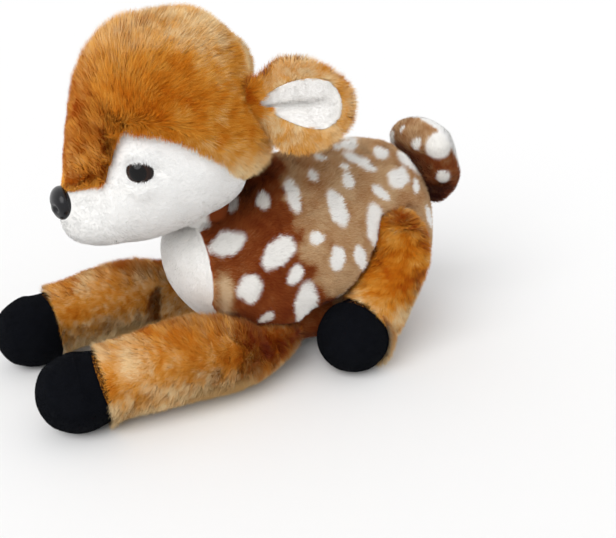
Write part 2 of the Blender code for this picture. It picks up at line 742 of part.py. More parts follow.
def build_tail(surfaces):
    middle = TAIL_HINGE + Vector((0, 0.48 * TAIL_THICKNESS, 0.12 * TAIL_HEIGHT))
    axis = Vector((0, -0.32, 1)).normalized()
    points, sizes = [], []
    for along, share in TAIL_RING_SHARES:
        points.append(middle + axis * (along * TAIL_HEIGHT))
        sizes.append((share * TAIL_WIDTH / 2, share * TAIL_THICKNESS / 2))
    ends = [middle - axis * TAIL_HEIGHT / 2, middle + axis * TAIL_HEIGHT / 2]
    outer, cage = path_form("tail_form", points, sizes, *ends)
    inner = inset(outer, FABRIC, "tail_inner")
    filling = stuffing(outer, cage, STUFFING_GAP, "tail_stuffing")
    root = ball("tail_root", TAIL_HINGE, TAIL_ROOT_DIAMETER, 16)
    hole = ball("tail_root_hole", TAIL_HINGE, TAIL_ROOT_DIAMETER + 2 * SEAM_GAP, 16)
    boolean(filling, root, "UNION")
    skin = cut(outer, inner, hole)
    under = Vector((0, 0.80, 0.45)).normalized()
    seam = middle + under * 0.15 * TAIL_THICKNESS
    white = cut(copy_of(skin, "under"), half_space("upper", seam + under * SEAM_GAP / 2, -under))
    top = cut(skin, half_space("under", seam - under * SEAM_GAP / 2, under))
    finish(top, "tail_top", surfaces["print"])
    finish(white, "tail_underside", surfaces["white"])
    finish(filling, "tail_filling", surfaces["stuffing"])


clear_scene()
TOY = new_collection("plush_fawn", False)
CUTTERS = new_collection("cutters", True)
SURFACES = {
    "golden": material("golden_long_plush", (0.56, 0.27, 0.07), 0.95),
    "print": material("printed_short_plush", (0.36, 0.17, 0.07), 0.9),
    "white": material("white_plush", (0.86, 0.85, 0.82), 0.95),
    "black": material("black_fleece", (0.012, 0.013, 0.020), 0.95),
    "stuffing": material("polyester_stuffing", (0.88, 0.88, 0.86), 1.0),
    "eye": material("eye_plastic", (0.05, 0.018, 0.008), 0.08),
    "nose": material("nose_plastic", (0.012, 0.012, 0.014), 0.3),
    "plastic": material("washer_plastic", (0.8, 0.8, 0.78), 0.4),
}
build_body(SURFACES)
build_head(SURFACES)
build_legs(SURFACES)
build_tail(SURFACES)
for helper in list(CUTTERS.objects):
    bpy.data.objects.remove(helper, do_unlink=True)
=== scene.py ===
"""A stuffed toy fawn lying on its belly, sewn from plush, with its pile.

Metres, Z up, in the frame of the CAD model: the toy faces -Y and its left side is +X.
Every soft piece is a smooth sewn skin with short strands of pile standing on it.
"""

import math

import bpy
import numpy as np
from mathutils import Matrix, Vector


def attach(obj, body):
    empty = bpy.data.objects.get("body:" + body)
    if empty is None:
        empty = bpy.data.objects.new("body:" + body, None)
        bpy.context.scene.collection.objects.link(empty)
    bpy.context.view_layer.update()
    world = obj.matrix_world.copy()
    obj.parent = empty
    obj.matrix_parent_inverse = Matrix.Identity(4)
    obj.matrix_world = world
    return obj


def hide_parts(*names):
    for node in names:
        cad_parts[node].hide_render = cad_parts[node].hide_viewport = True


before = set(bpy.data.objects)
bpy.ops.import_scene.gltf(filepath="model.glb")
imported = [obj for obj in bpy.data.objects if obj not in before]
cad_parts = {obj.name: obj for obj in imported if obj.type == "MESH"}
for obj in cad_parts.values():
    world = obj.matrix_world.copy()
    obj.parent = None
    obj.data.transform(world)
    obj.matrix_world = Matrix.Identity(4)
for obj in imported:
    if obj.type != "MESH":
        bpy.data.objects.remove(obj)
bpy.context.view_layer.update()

# Body. Two printed side panels of short plush meet in a seam along the back, and a white panel
# covers chest and belly. The skin is stuffed firmly and its pile lies back along the flank.

BODY_FRONT, BODY_LENGTH, BODY_WIDTH, BODY_HEIGHT = -0.087875, 0.185, 0.094, 0.126
# Stations as shares of these sizes: place behind the front, height of the middle, half width,
# and height above and below the middle.
BODY_SHARES = np.array([
    (0, 0.571, 0, 0, 0),
    (0.022, 0.556, 0.213, 0.143, 0.143),
    (0.086, 0.524, 0.372, 0.246, 0.246),
    (0.205, 0.460, 0.447, 0.349, 0.349),
    (0.368, 0.476, 0.484, 0.490, 0.460),
    (0.600, 0.496, 0.500, 0.500, 0.500),
    (0.811, 0.480, 0.468, 0.488, 0.452),
    (0.925, 0.476, 0.345, 0.365, 0.312),
    (1, 0.476, 0, 0, 0),
])
# The flat place on each flank that a leg is sewn against, as a distance from the middle.
SEAT = 0.034


def unit(vectors):
    """Vectors scaled to length one."""
    return vectors / np.linalg.norm(vectors, axis=-1, keepdims=True).clip(1e-12)


def between(values, zero_at, one_at):
    """Shares that rise evenly from 0 at zero_at to 1 at one_at, and stay so beyond them."""
    return ((values - zero_at) / (one_at - zero_at)).clip(0, 1)


def bell(values, spread):
    """Shares that fade from 1 at zero: e to the power of minus (values / spread) squared."""
    return np.exp(-((values / spread) ** 2))


def on_left(points):
    """Points with those of the right side mirrored over to the left."""
    return np.concatenate((np.abs(points[..., :1]), points[..., 1:]), -1)


def smooth_between(stations, values, at):
    """A curve through values at stations: cubic pieces whose slopes never overshoot them."""
    h = np.diff(stations)[:, None]
    rise = np.diff(values, axis=0) / h
    before, after = rise[:-1], rise[1:]
    w_before, w_after = 2 * h[1:] + h[:-1], h[1:] + 2 * h[:-1]
    same = before * after > 0
    safe_before, safe_after = np.where(same, before, 1), np.where(same, after, 1)
    slope = np.zeros_like(values)
    slope[1:-1] = np.where(
        same, (w_before + w_after) / (w_before / safe_before + w_after / safe_after), 0
    )
    for end, next_in in ((0, 1), (-1, -2)):
        tried = ((2 * h[end] + h[next_in]) * rise[end] - h[end] * rise[next_in]) / (h[end] + h[next_in])
        slope[end] = tried.clip(np.minimum(0, 3 * rise[end]), np.maximum(0, 3 * rise[end]))
    cell = np.searchsorted(stations, at, side="right").clip(1, len(stations) - 1) - 1
    step = h[cell]
    t = ((at - stations[cell])[:, None] / step).clip(0, 1)
    return (
        values[cell] * (1 + 2 * t) * (1 - t) ** 2
        + slope[cell] * step * t * (1 - t) ** 2
        + values[cell + 1] * t * t * (3 - 2 * t)
        + slope[cell + 1] * step * t * t * (t - 1)
    )


def rows_along(line, halves, shares, upright=False):
    """Rows of a form at shares of its length: their middles, half sizes, and ways right and up.

    The middle line and the squares of the half sizes run smoothly through their stations, so
    the form ends in round tips. Upright rows keep right along X and up along Z, and other rows
    stand square to the line.
    """
    reach = np.r_[0, np.cumsum(np.linalg.norm(np.diff(line, axis=0), axis=1))]
    at = reach[-1] * shares
    middle = smooth_between(reach, line, at)
    half = np.sqrt(smooth_between(reach, halves**2, at).clip(0))
    ahead = np.tile((0, 1.0, 0), (len(at), 1)) if upright else unit(np.gradient(middle, axis=0))
    right = unit(np.array((1.0, 0, 0)) - ahead * ahead[:, :1])
    return middle, half, right, np.cross(right, ahead)


def stuffed_form(line, halves, rows, around, upright):
    """Points of a stuffed form as a grid of rows by places around, the last place on the first.

    A row is middle + right * half width * cos(angle) + up * height * sin(angle), with one height
    above and another below. Rows stand closer together towards the tips.
    """
    even = np.linspace(0, 1, rows)
    shares = 0.35 * even + 0.65 * (1 - np.cos(math.pi * even)) / 2
    middle, half, right, up = rows_along(line, halves, shares, upright)
    wide, above, below = half.T
    angle = np.linspace(-0.5 * math.pi, 1.5 * math.pi, around + 1)
    high = np.where(np.sin(angle) > 0, above[:, None], below[:, None]) * np.sin(angle)
    across = wide[:, None] * np.cos(angle)
    return middle[:, None] + across[..., None] * right[:, None] + high[..., None] * up[:, None]


def outward(grid):
    """Directions out of a closed grid: along the rows crossed with around them."""
    around = np.gradient(np.concatenate((grid[:, -2:-1], grid, grid[:, 1:2]), 1), axis=1)[:, 1:-1]
    ways = unit(np.cross(around, np.gradient(grid, axis=0)))
    middle = grid[:, :-1].mean(1, keepdims=True)
    if ((grid - middle) * ways)[len(grid) // 2].sum() < 0:
        ways = -ways
    ways[0], ways[-1] = unit(ways[1].mean(0)), unit(ways[-2].mean(0))
    return ways


def lowered(grid, lowest=-0.0005):
    """A form let down until it presses this far into the floor, and then flattened on it."""
    grid = grid - (0, 0, grid[..., 2].min() - lowest)
    grid[..., 2] = grid[..., 2].clip(0)
    return grid


def placed(name, data):
    """A new object in the scene."""
    made = bpy.data.objects.new(name, data)
    bpy.context.scene.collection.objects.link(made)
    return made


def skin(name, grid, surface, **facts):
    """A closed mesh from a grid, each tip drawn to one point. Facts are numbers for its points; with plush,
    an along below three quarters paints the skin with the pile's root shade.
    """
    rows, around = grid.shape[0], grid.shape[1] - 1
    middle = grid[1:-1, :-1].reshape(-1, 3)
    points = np.concatenate((middle, grid[:1, 0], grid[-1:, 0]))
    index = np.arange(len(middle)).reshape(rows - 2, around)
    follow = np.roll(index, -1, axis=1)
    quads = np.stack((index[:-1], follow[:-1], follow[1:], index[1:]), -1).reshape(-1, 4)
    first = np.stack((np.full(around, len(middle)), follow[0], index[0]), -1)
    last = np.stack((np.full(around, len(middle) + 1), index[-1], follow[-1]), -1)
    mesh = bpy.data.meshes.new(name)
    mesh.from_pydata(points.tolist(), [], quads.tolist() + first.tolist() + last.tolist())
    a, b, c, d = points[quads[len(quads) // 2]]
    facing = np.cross(c - a, d - b)
    if facing @ ((a + c) / 2 - points.mean(0)) < 0:
        mesh.flip_normals()
    for key, values in facts.items():
        values = np.broadcast_to(values, grid.shape[:2])
        full = np.concatenate((values[1:-1, :-1].ravel(), values[:1, 0], values[-1:, 0]))
        mesh.attributes.new(key, "FLOAT", "POINT").data.foreach_set("value", full.astype(np.float32))
    mesh.shade_smooth()
    mesh.materials.append(surface)
    return placed(name, mesh)


def soft_patches(points, size, seed):
    """Soft random patches from 0 to 1: random numbers at the corners of cubes, eased between."""
    table = np.random.default_rng(seed).random((24, 24, 24))
    cell = np.floor(points / size).astype(int)
    part = points / size - cell
    part = part * part * (3 - 2 * part)
    total = np.zeros(points.shape[:-1])
    for step in np.ndindex(2, 2, 2):
        share = np.where(step, part, 1 - part).prod(-1)
        corner = (cell + step) % 24
        total += share * table[corner[..., 0], corner[..., 1], corner[..., 2]]
    return total


def planted(grid, density, seed, ways, *fields):
    """Roots spread evenly over a grid, this many to a square millimetre, and the ways out there.

    A cell is drawn as often as its area asks, a root lies anywhere in it, and each field of
    the grid is read off at the roots.
    """
    rng = np.random.default_rng(seed)
    a, b, c, d = grid[:-1, :-1], grid[1:, :-1], grid[1:, 1:], grid[:-1, 1:]
    area = np.linalg.norm(np.cross(b - a, d - a), axis=-1) + np.linalg.norm(np.cross(b - c, d - c), axis=-1)
    count = int(area.sum() / 2 * 1e6 * density)
    cell = rng.choice(area.size, count, p=area.ravel() / area.sum())
    i, j = np.divmod(cell, area.shape[1])
    u, v = rng.random((2, count))

    def read(field):
        shape = (count,) + (1,) * (field.ndim - 2)
        s, t = u.reshape(shape), v.reshape(shape)
        return (
            field[i, j] * (1 - s) * (1 - t)
            + field[i + 1, j] * s * (1 - t)
            + field[i, j + 1] * (1 - s) * t
            + field[i + 1, j + 1] * s * t
        )

    return [read(grid), unit(read(ways)), *(read(field) for field in fields)]


def pile(name, root, out, comb, surface, seed, length, lean, thick, stray=1.0, **facts):
    """Strands of plush pile that lean over in the combed way, from straight out by about lean.

    A strand is one narrow triangle: its root edge lies across the lean and its tip is root + length
    * (out * cos(lean) + comb * sin(lean)). Soft patches and chance turn each strand aside by stray.
    It is shaded as the skin under it, along runs from 0 at the root to 1 at the tip, and shade is
    one random number for each strand.
    """
    rng = np.random.default_rng(seed)
    count = len(root)
    comb = unit(comb - out * (comb * out).sum(1, keepdims=True))
    side = np.cross(out, comb)
    sway = 1.35 * (soft_patches(root, 0.004, seed) - 0.5) + 1.2 * (soft_patches(root, 0.012, seed + 1) - 0.5)
    comb = unit(comb + side * (stray * (sway + rng.normal(0, 0.35, count)))[:, None])
    side = np.cross(out, comb)
    uneven = 0.45 * (soft_patches(root, 0.005, seed + 2) - 0.5) + rng.normal(0, 0.12, count)
    length = length * rng.uniform(0.75, 1.08, count)
    turn = (lean * (1 + stray * uneven)).clip(0.02, 1.5)[:, None]
    course = out * np.cos(turn) + comb * np.sin(turn)
    roll = rng.normal(0, 0.5, count)[:, None]
    half = side * np.cos(roll) + np.cross(course, side) * np.sin(roll)
    half *= (thick / 2 * rng.uniform(0.75, 1.2, count))[:, None]
    low = root - out * 0.0004
    points = np.stack((low - half, low + half, low + course * length[:, None]), 1)
    points[..., 2] = np.maximum(points[..., 2], 0.0002)
    a, b, c = np.moveaxis(points, 1, 0)
    turned = (np.cross(b - a, c - a) * out).sum(1, keepdims=True) < 0
    corners = (np.arange(count)[:, None] * 3 + np.where(turned, (2, 1, 0), (0, 1, 2))).ravel()
    facing = np.cross(side, course)
    facing *= np.sign((facing * out).sum(1, keepdims=True))
    bright = unit(0.45 * facing + out + side * rng.normal(0, 0.12, count)[:, None])
    mesh = bpy.data.meshes.new(name)
    mesh.vertices.add(count * 3)
    mesh.vertices.foreach_set("co", points.astype(np.float32).ravel())
    mesh.loops.add(count * 3)
    mesh.loops.foreach_set("vertex_index", corners.astype(np.int32))
    mesh.polygons.add(count)
    mesh.polygons.foreach_set("loop_start", np.arange(0, count * 3, 3, dtype=np.int32))
    mesh.update(calc_edges=True)
    facts = {"shade": rng.random(count)} | facts
    facts = {"along": np.tile((0, 0, 1.0), count)} | {key: np.repeat(facts[key], 3) for key in facts}
    for key, values in facts.items():
        mesh.attributes.new(key, "FLOAT", "POINT").data.foreach_set("value", values.astype(np.float32))
    cells = math.ceil(math.sqrt(count))
    where = np.stack(np.divmod(np.arange(count), cells), 1)[:, None] + [(0.1, 0.1), (0.9, 0.1), (0.5, 0.9)]
    where = where.reshape(-1, 2)[corners] / cells
    mesh.uv_layers.new(name="OFBake").data.foreach_set("uv", where.astype(np.float32).ravel())
    mesh.shade_smooth()
    mesh.normals_split_custom_set_from_vertices(np.repeat(bright, 3, 0))
    mesh.materials.append(surface)
    return placed(name, mesh)


def new_material(name):
    """A material with nodes, the tree of its nodes and its shader."""
    made = bpy.data.materials.new(name)
    made.use_nodes = True
    return made, made.node_tree, made.node_tree.nodes["Principled BSDF"]


def seen(red, green, blue):
    """A colour as it is seen on the toy, 0 to 255, as light values."""
    return tuple(((np.array((red, green, blue)) / 255 + 0.055) / 1.055) ** 2.4) + (1.0,)


def colour_bands(tree, bands):
    """A ramp through colours at their places, the first at 0 and the last at 1."""
    ramp = tree.nodes.new("ShaderNodeValToRGB")
    stops = ramp.color_ramp.elements
    for place, _ in bands[1:-1]:
        stops.new(place)
    for stop, (_, colour) in zip(stops, bands):
        stop.color = seen(*colour)
    return ramp


def plush(name, tones, root_painted_shade, spots=None, rough=0.9, sheen=0.06):
    """Plush whose colour runs over tones with tone, painted darker at the roots as shade, white on its spots.

    The tone of a place comes from the piece, moved a little from strand to strand by shade, and the colour
    is multiplied by the painted root shade at the root and by one from three quarters up, as painted shade
    deep in the pile.
    """
    made, tree, shader = new_material(name)

    def node(kind, **values):
        new = tree.nodes.new(kind)
        for key, value in values.items():
            setattr(new, key, value)
        return new

    def read(key):
        return node("ShaderNodeAttribute", attribute_name=key).outputs["Fac"]

    vary = node("ShaderNodeMath", operation="MULTIPLY_ADD")
    tree.links.new(read("shade"), vary.inputs[0])
    vary.inputs[1].default_value = 0.30
    tree.links.new(read("tone"), vary.inputs[2])
    ramp = colour_bands(tree, tones)
    tree.links.new(vary.outputs[0], ramp.inputs["Fac"])
    colour = ramp.outputs["Color"]
    if spots is not None:
        spotted = node("ShaderNodeMix", data_type="RGBA")
        tree.links.new(read("spot"), spotted.inputs["Factor"])
        tree.links.new(colour, spotted.inputs["A"])
        spotted.inputs["B"].default_value = seen(*spots)
        colour = spotted.outputs["Result"]
    # Painted shade: the colour darkens towards the roots, where the pile shades itself.
    painted_depth_shade = node("ShaderNodeMapRange", interpolation_type="SMOOTHSTEP")
    tree.links.new(read("along"), painted_depth_shade.inputs["Value"])
    painted_depth_shade.inputs["From Max"].default_value = 0.75
    painted_depth_shade.inputs["To Min"].default_value = root_painted_shade
    shaded = node("ShaderNodeMix", data_type="RGBA", blend_type="MULTIPLY")
    shaded.inputs["Factor"].default_value = 1.0
    tree.links.new(colour, shaded.inputs["A"])
    tree.links.new(painted_depth_shade.outputs["Result"], shaded.inputs["B"])
    tree.links.new(shaded.outputs["Result"], shader.inputs["Base Color"])
    shader.inputs["Roughness"].default_value = rough
    shader.inputs["Specular IOR Level"].default_value = 0.1
    shader.inputs["Sheen Weight"].default_value = sheen
    shader.inputs["Sheen Roughness"].default_value = 0.5
    return made


PRINT = plush(
    "printed_short_plush",
    [(0.0, (118, 46, 12)), (0.3, (150, 78, 34)), (0.6, (190, 146, 100)), (1.0, (228, 200, 162))],
    0.84,
    (255, 253, 249),
)
# Its darkest tones are also painted shade in the linings of the ears.
WHITE = plush(
    "white_short_plush",
    [(0.0, (236, 234, 230)), (0.6, (252, 251, 249)), (1.0, (255, 255, 254))],
    0.98,
    sheen=0.3,
)

place = BODY_FRONT + BODY_SHARES[:, 0] * BODY_LENGTH
body_line = np.stack((place * 0, place, BODY_SHARES[:, 1] * BODY_HEIGHT), 1)
body_halves = BODY_SHARES[:, 2:] * (BODY_WIDTH, BODY_HEIGHT, BODY_HEIGHT)
BODY_AROUND = 180
body_grid = stuffed_form(body_line, body_halves, 150, BODY_AROUND, True)

# The upper edge of the seats of the legs, as places along the body and heights.
SEAT_TOP = np.array([
    (-0.0819, 0.0575), (-0.0700, 0.0515), (-0.0579, 0.0430), (-0.0460, 0.0325), (-0.0381, 0.0295),
    (-0.0170, 0.0295), (-0.0140, 0.0340), (-0.0090, 0.0360), (0.0060, 0.0380), (0.0150, 0.0445),
    (0.0210, 0.0510), (0.0270, 0.0595), (0.0330, 0.0720), (0.0370, 0.0890), (0.0430, 0.0915),
    (0.0600, 0.0925),
])
SEAT_SLOPE = 0.62


def flank_limit(points):
    """How far out the body may reach beside the legs: the flat seat, sloping out above its upper edge."""
    top = np.interp(points[..., 1], SEAT_TOP[:, 0], SEAT_TOP[:, 1])
    return SEAT - 0.0003 + (points[..., 2] - top).clip(0) / SEAT_SLOPE


limit = flank_limit(body_grid)
body_grid[..., 0] = body_grid[..., 0].clip(-limit, limit)
rump = bell(body_grid[..., 1:2] - 0.042, 0.034) * between(body_grid[..., 2:], 0.07, 0.12)
body_grid = lowered(body_grid + outward(body_grid) * 0.0026 * rump)

# How far each place lies below the seam along the back, measured round the body.
girth = np.linalg.norm(np.diff(body_grid, axis=1), axis=-1)
half_way = BODY_AROUND // 2
down = np.zeros(body_grid.shape[:2])
down[:, half_way + 1 :] = np.cumsum(girth[:, half_way:], 1)
down[:, :half_way] = np.cumsum(girth[:, :half_way][:, ::-1], 1)[:, ::-1]

BELLY_SEAM = 0.0107


def in_bib(y, z):
    """Whether places are on the white panel: before the bib's seam or under the belly's."""
    bib_seam = np.interp(z, (BELLY_SEAM, 0.0277, 0.0529), (-0.0401, -0.0605, -0.0716))
    return (y < bib_seam) | (z < BELLY_SEAM)


def spots_at(y, below_back, spots):
    """How far places lie on a white spot, 0 to 1: spots are ellipses on the panel with soft edges."""
    on = np.zeros(y.shape)
    for place, below, long_half, short_half, turn in spots:
        along, across = y - place, below_back - below
        u = along * math.cos(turn) + across * math.sin(turn)
        v = across * math.cos(turn) - along * math.sin(turn)
        away = np.sqrt((u / long_half) ** 2 + (v / short_half) ** 2)
        on = np.maximum(on, between(away, 1.12, 0.88))
    return on


# Place along the body, distance below the back's seam, half length, half width and turn of each spot.
SPOTS = np.array([
    (-0.0150, 0.0308, 0.0101, 0.0044, -1.51), (0.0013, 0.0237, 0.0044, 0.0030, 1.53),
    (0.0218, 0.0329, 0.0047, 0.0040, -1.10), (0.0105, 0.0472, 0.0121, 0.0054, 1.32),
    (0.0344, 0.0220, 0.0112, 0.0044, 0.75), (0.0525, 0.0163, 0.0070, 0.0041, -0.57),
    (0.0584, 0.0340, 0.0101, 0.0061, -0.57), (0.0414, 0.0435, 0.0070, 0.0034, 0.79),
    (0.0368, 0.0682, 0.0178, 0.0080, 1.36), (-0.0064, 0.0599, 0.0052, 0.0044, 0.76),
    (0.0061, 0.0768, 0.0086, 0.0052, 1.56), (0.0218, 0.0813, 0.0089, 0.0039, 1.27),
    (-0.0308, 0.0557, 0.0114, 0.0071, 0.43), (-0.0319, 0.0248, 0.0048, 0.0035, 1.32),
    (-0.0220, 0.0766, 0.0056, 0.0050, 1.17), (-0.0502, 0.0618, 0.0096, 0.0062, 0.99),
    (-0.0142, 0.1004, 0.0160, 0.0075, 1.45), (-0.0583, 0.0321, 0.0107, 0.0068, 0.16),
    (-0.0398, 0.0909, 0.0060, 0.0034, 0.89), (0.0116, 0.0126, 0.0040, 0.0029, 0.77),
    (0.0359, 0.0043, 0.0100, 0.0054, -0.84), (0.0232, 0.0245, 0.0027, 0.0024, -0.82),
    (0.0735, 0.0164, 0.0108, 0.0070, -0.73), (0.0724, 0.0353, 0.0071, 0.0024, -1.06),
    (0.0261, 0.0072, 0.0036, 0.0024, -0.85), (0.0850, 0.0430, 0.0080, 0.0045, -1.04),
    (0.0620, 0.0620, 0.0085, 0.0050, 1.30), (0.0790, 0.0660, 0.0080, 0.0052, 1.10),
    (-0.0680, 0.0140, 0.0050, 0.0040, 0.90), (-0.0480, 0.0110, 0.0060, 0.0040, 0.40),
    (0.0130, 0.1080, 0.0070, 0.0050, 0.60), (0.0450, 0.1000, 0.0075, 0.0050, 0.90),
])


def brown_tone(points, below):
    """How light the printed brown is, 0 to 1: red-brown on the shoulder and low flank, tan behind.

    The edge between them runs down the flank and turns back under it, and a tan stripe lies by the bib seam.
    """
    down_the_flank = (0.0, 0.018, 0.045, 0.068, 0.085, 0.107, 0.13)
    edge = np.interp(below, down_the_flank, (-0.012, -0.020, -0.021, -0.019, -0.013, 0.004, 0.016))
    ragged = 0.012 * (soft_patches(points, 0.010, 4) - 0.5) + 0.010 * (soft_patches(points, 0.004, 7) - 0.5)
    behind = between(points[..., 1] - edge + ragged, -0.005, 0.005)
    tone = 0.02 + 0.50 * behind * behind * (3 - 2 * behind)
    tone += 0.26 * (soft_patches(points, 0.014, 5) - 0.5) + 0.20 * (soft_patches(points, 0.005, 6) - 0.5)
    stripe = bell(points[..., 1] + 0.0668 + 0.3 * ragged, 0.0042) * between(below, 0.042, 0.052)
    return tone + 0.85 * stripe


def under_form(points, line, halves, grow):
    """Whether points lie inside a stuffed form grown by grow: in the ellipse of the nearest of 60 rows."""
    middle, half, right, up = rows_along(line, halves, np.linspace(0, 1, 60))
    nearest = np.linalg.norm(points[:, None] - middle, axis=-1).argmin(1)
    off = points - middle[nearest]
    across, high = (off * right[nearest]).sum(1), (off * up[nearest]).sum(1)
    wide, tall = half[nearest, 0] + grow, half[nearest, 1] + grow
    return (across / wide.clip(1e-4)) ** 2 + (high / tall.clip(1e-4)) ** 2 < 1


FORE_HINGE_Y, FORELEG_REACH, FORELEG_THICKNESS, HOOF = -0.036075, 0.142, 0.041, 0.045
# How much further ahead the far foreleg lies, and how far each kind is let down to the floor.
FAR_LEG_SHIFT, FORELEG_DROP, HINDLEG_DROP = 0.008946, 0.00186, 0.00239
# Stations as shares: distance out of the seat, reach ahead of the hinge (behind it for a hind leg),
# height, half width and half height.
FORELEG_SHARES = np.array([
    (0.06, -0.115, 0.50, 0.09, 0.10),
    (0.14, -0.040, 0.50, 0.18, 0.18),
    (0.26, 0.080, 0.50, 0.30, 0.29),
    (0.34, 0.240, 0.61, 0.46, 0.45),
    (0.33, 0.460, 0.67, 0.49, 0.50),
    (0.27, 0.710, 0.61, 0.46, 0.46),
    (0.20, 0.845, 0.53, 0.50, 0.50),
    (0.18, 0.945, 0.53, 0.39, 0.39),
])
HIND_HINGE_Y, HINDLEG_HEIGHT, HINDLEG_THICKNESS = 0.04995, 0.099, 0.045
HINDLEG_SHARES = np.array([
    (0.160, 0.010, 0.900, 0.34, 0.22),
    (0.250, 0.010, 0.720, 0.44, 0.31),
    (0.280, -0.080, 0.500, 0.43, 0.34),
    (0.350, -0.230, 0.300, 0.40, 0.40),
    (0.515, -0.387, 0.242, 0.50, 0.50),
    (0.637, -0.523, 0.242, 0.38, 0.38),
])
HIND_WAY = unit(np.array((0.38, -0.93, 0)))


def tipped(points, halves, start, end):
    """A middle line and its half sizes with the two tips added, where the sizes are zero."""
    zero = np.zeros((1, 3))
    return np.concatenate((start[None], points, end[None])), np.concatenate((zero, halves, zero))


def foreleg_stations():
    """The left foreleg's middle line and half sizes: it runs ahead from the hinge and ends in the hoof."""
    side, forward, up, wide, tall = FORELEG_SHARES.T
    ahead = FORE_HINGE_Y - forward * FORELEG_REACH
    points = np.stack((SEAT + side * FORELEG_THICKNESS, ahead, up * HOOF - FORELEG_DROP), 1)
    thick = np.where(forward > 0.8, HOOF, FORELEG_THICKNESS)
    halves = np.stack((wide, tall, tall), 1) * thick[:, None]
    start, end = points[0] + (0, 0.02 * FORELEG_REACH, 0), points[-1] - (0, 0.058 * FORELEG_REACH, 0)
    return tipped(points, halves, start, end)


def hindleg_stations():
    """The left hind leg's middle line and half sizes: it runs down the flank and turns ahead to the hoof."""
    side, back, up, wide, tall = HINDLEG_SHARES.T
    behind, high = HIND_HINGE_Y + back * HINDLEG_HEIGHT, up * HINDLEG_HEIGHT - HINDLEG_DROP
    points = np.stack((SEAT + side * HINDLEG_THICKNESS, behind, high), 1)
    halves = np.stack((wide, tall, tall), 1) * HINDLEG_THICKNESS
    start, end = points[0] + (0, 0, 0.045 * HINDLEG_HEIGHT), points[-1] + HIND_WAY * 0.08 * HINDLEG_HEIGHT
    return tipped(points, halves, start, end)


def hidden_by_legs(points, grow):
    """Whether places on the body lie under a leg, so that no pile stands there."""
    left = on_left(points)
    shifted = left + (points[:, :1] < 0) * np.array((0, FAR_LEG_SHIFT, 0))
    return under_form(shifted, *foreleg_stations(), grow) | under_form(left, *hindleg_stations(), grow)


spot = np.where(in_bib(body_grid[..., 1], body_grid[..., 2]), 1.0, spots_at(body_grid[..., 1], down, SPOTS))
tone = brown_tone(body_grid, down)
# The skin is painted with the pile's root shade at along 0.2: painted shade in the gaps between strands.
body_skin = skin("body_skin", body_grid, PRINT, tone=tone, along=0.2, spot=spot, shade=0.5)
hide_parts("body_print_left", "body_print_right", "chest_belly_panel", "body_filling")
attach(body_skin, "body")

roots, out, below = planted(body_grid, 7.5, 11, outward(body_grid), down)
seated = np.abs(roots[:, 0]) > flank_limit(roots) - 0.0002
seated &= roots[:, 2] < np.interp(roots[:, 1], SEAT_TOP[:, 0], SEAT_TOP[:, 1]) + 0.001
bare = (seated & hidden_by_legs(roots, -0.0005)) | (roots[:, 2] < 0.002)
white = in_bib(roots[:, 1] + 0.0012 * (soft_patches(roots, 0.003, 8) - 0.5), roots[:, 2])
COMBED_BACK, COMBED_DOWN = np.array((0, 1.0, -0.25)), np.array((0, -0.2, -1.0))
TIPS_BEHIND_ROOTS = 0.0026
# The print isn't cut to match: on the right panel its spots lie this much further back and down.
PRINT_MOVED = np.array((0.004, 0.003, 0, 0, 0))
for name, chosen, right in (("left", roots[:, 0] > 0, 0), ("right", roots[:, 0] <= 0, 1)):
    on = chosen & ~bare & ~white
    place = roots[on, 1] + TIPS_BEHIND_ROOTS + 0.0016 * (soft_patches(roots[on], 0.003, 9) - 0.5)
    deep = below[on] + 0.0016 * (soft_patches(roots[on], 0.003, 10) - 0.5)
    high = between(below[on], 0.045, 0.015)
    strands = pile(
        "body_pile_" + name, roots[on], out[on], COMBED_BACK, PRINT, 21 + right,
        length=0.0042 + 0.0022 * high, lean=1.05 - 0.25 * high, thick=0.0005,
        tone=brown_tone(roots[on], below[on]), spot=spots_at(place, deep, SPOTS + right * PRINT_MOVED),
    )
    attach(strands, "body")
on = white & ~bare & (roots[:, 2] > 0.004)
strands = pile(
    "bib_pile", roots[on], out[on], COMBED_DOWN, WHITE, 23, length=0.0022, lean=1.05, thick=0.0005,
    stray=0.4, tone=0.10 + 0.4 * soft_patches(roots[on], 0.006, 12),
)
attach(strands, "body")

# Neck. A ball of stuffing inside the cover, where body and head are sewn together and turn.

NECK = np.array((0, -0.0629, 0.0945137))


def ball_grid(centre, radii, rows, around):
    """A ball, possibly flattened: latitude by longitude, with half sizes along X, Y and Z."""
    down_turn = np.linspace(0, math.pi, rows)[:, None]
    turn = np.linspace(0, 2 * math.pi, around + 1)
    wide, high = np.sin(down_turn), np.cos(down_turn) + 0 * turn
    return np.array(centre) + np.stack((wide * np.cos(turn), wide * np.sin(turn), high), -1) * radii


neck_grid = ball_grid(NECK + (0, 0.002, 0), (0.0185, 0.0170, 0.0210), 24, 32)
white_in_front = between(neck_grid[..., 1], -0.066, -0.067)
# Its along of 0.1 paints it nearly as dark as the pile's roots: painted shade.
neck = skin("neck_sleeve", neck_grid, PRINT, tone=0.1, along=0.1, shade=0.1, spot=white_in_front)
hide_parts("neck_filling")
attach(neck, "neck")

# Head. Golden long-pile plush over crown, cheeks and nape, and a white short-pile mask in two
# halves. The crown's pile is combed back from the nose and hangs over the seam of the mask.

HEAD_FRONT, HEAD_LENGTH, HEAD_WIDTH, HEAD_HEIGHT, CHIN_HEIGHT = -0.146261, 0.111, 0.098, 0.1205, 0.0915012
# Stations like those of the body, with heights above the chin.
HEAD_SHARES = np.array([
    (0, 0.145, 0, 0, 0),
    (0.050, 0.160, 0.120, 0.165, 0.125),
    (0.125, 0.195, 0.220, 0.372, 0.190),
    (0.272, 0.300, 0.380, 0.538, 0.302),
    (0.460, 0.378, 0.475, 0.586, 0.372),
    (0.690, 0.419, 0.500, 0.572, 0.365),
    (0.872, 0.452, 0.459, 0.480, 0.332),
    (0.954, 0.502, 0.296, 0.282, 0.224),
    (1, 0.552, 0, 0, 0),
])
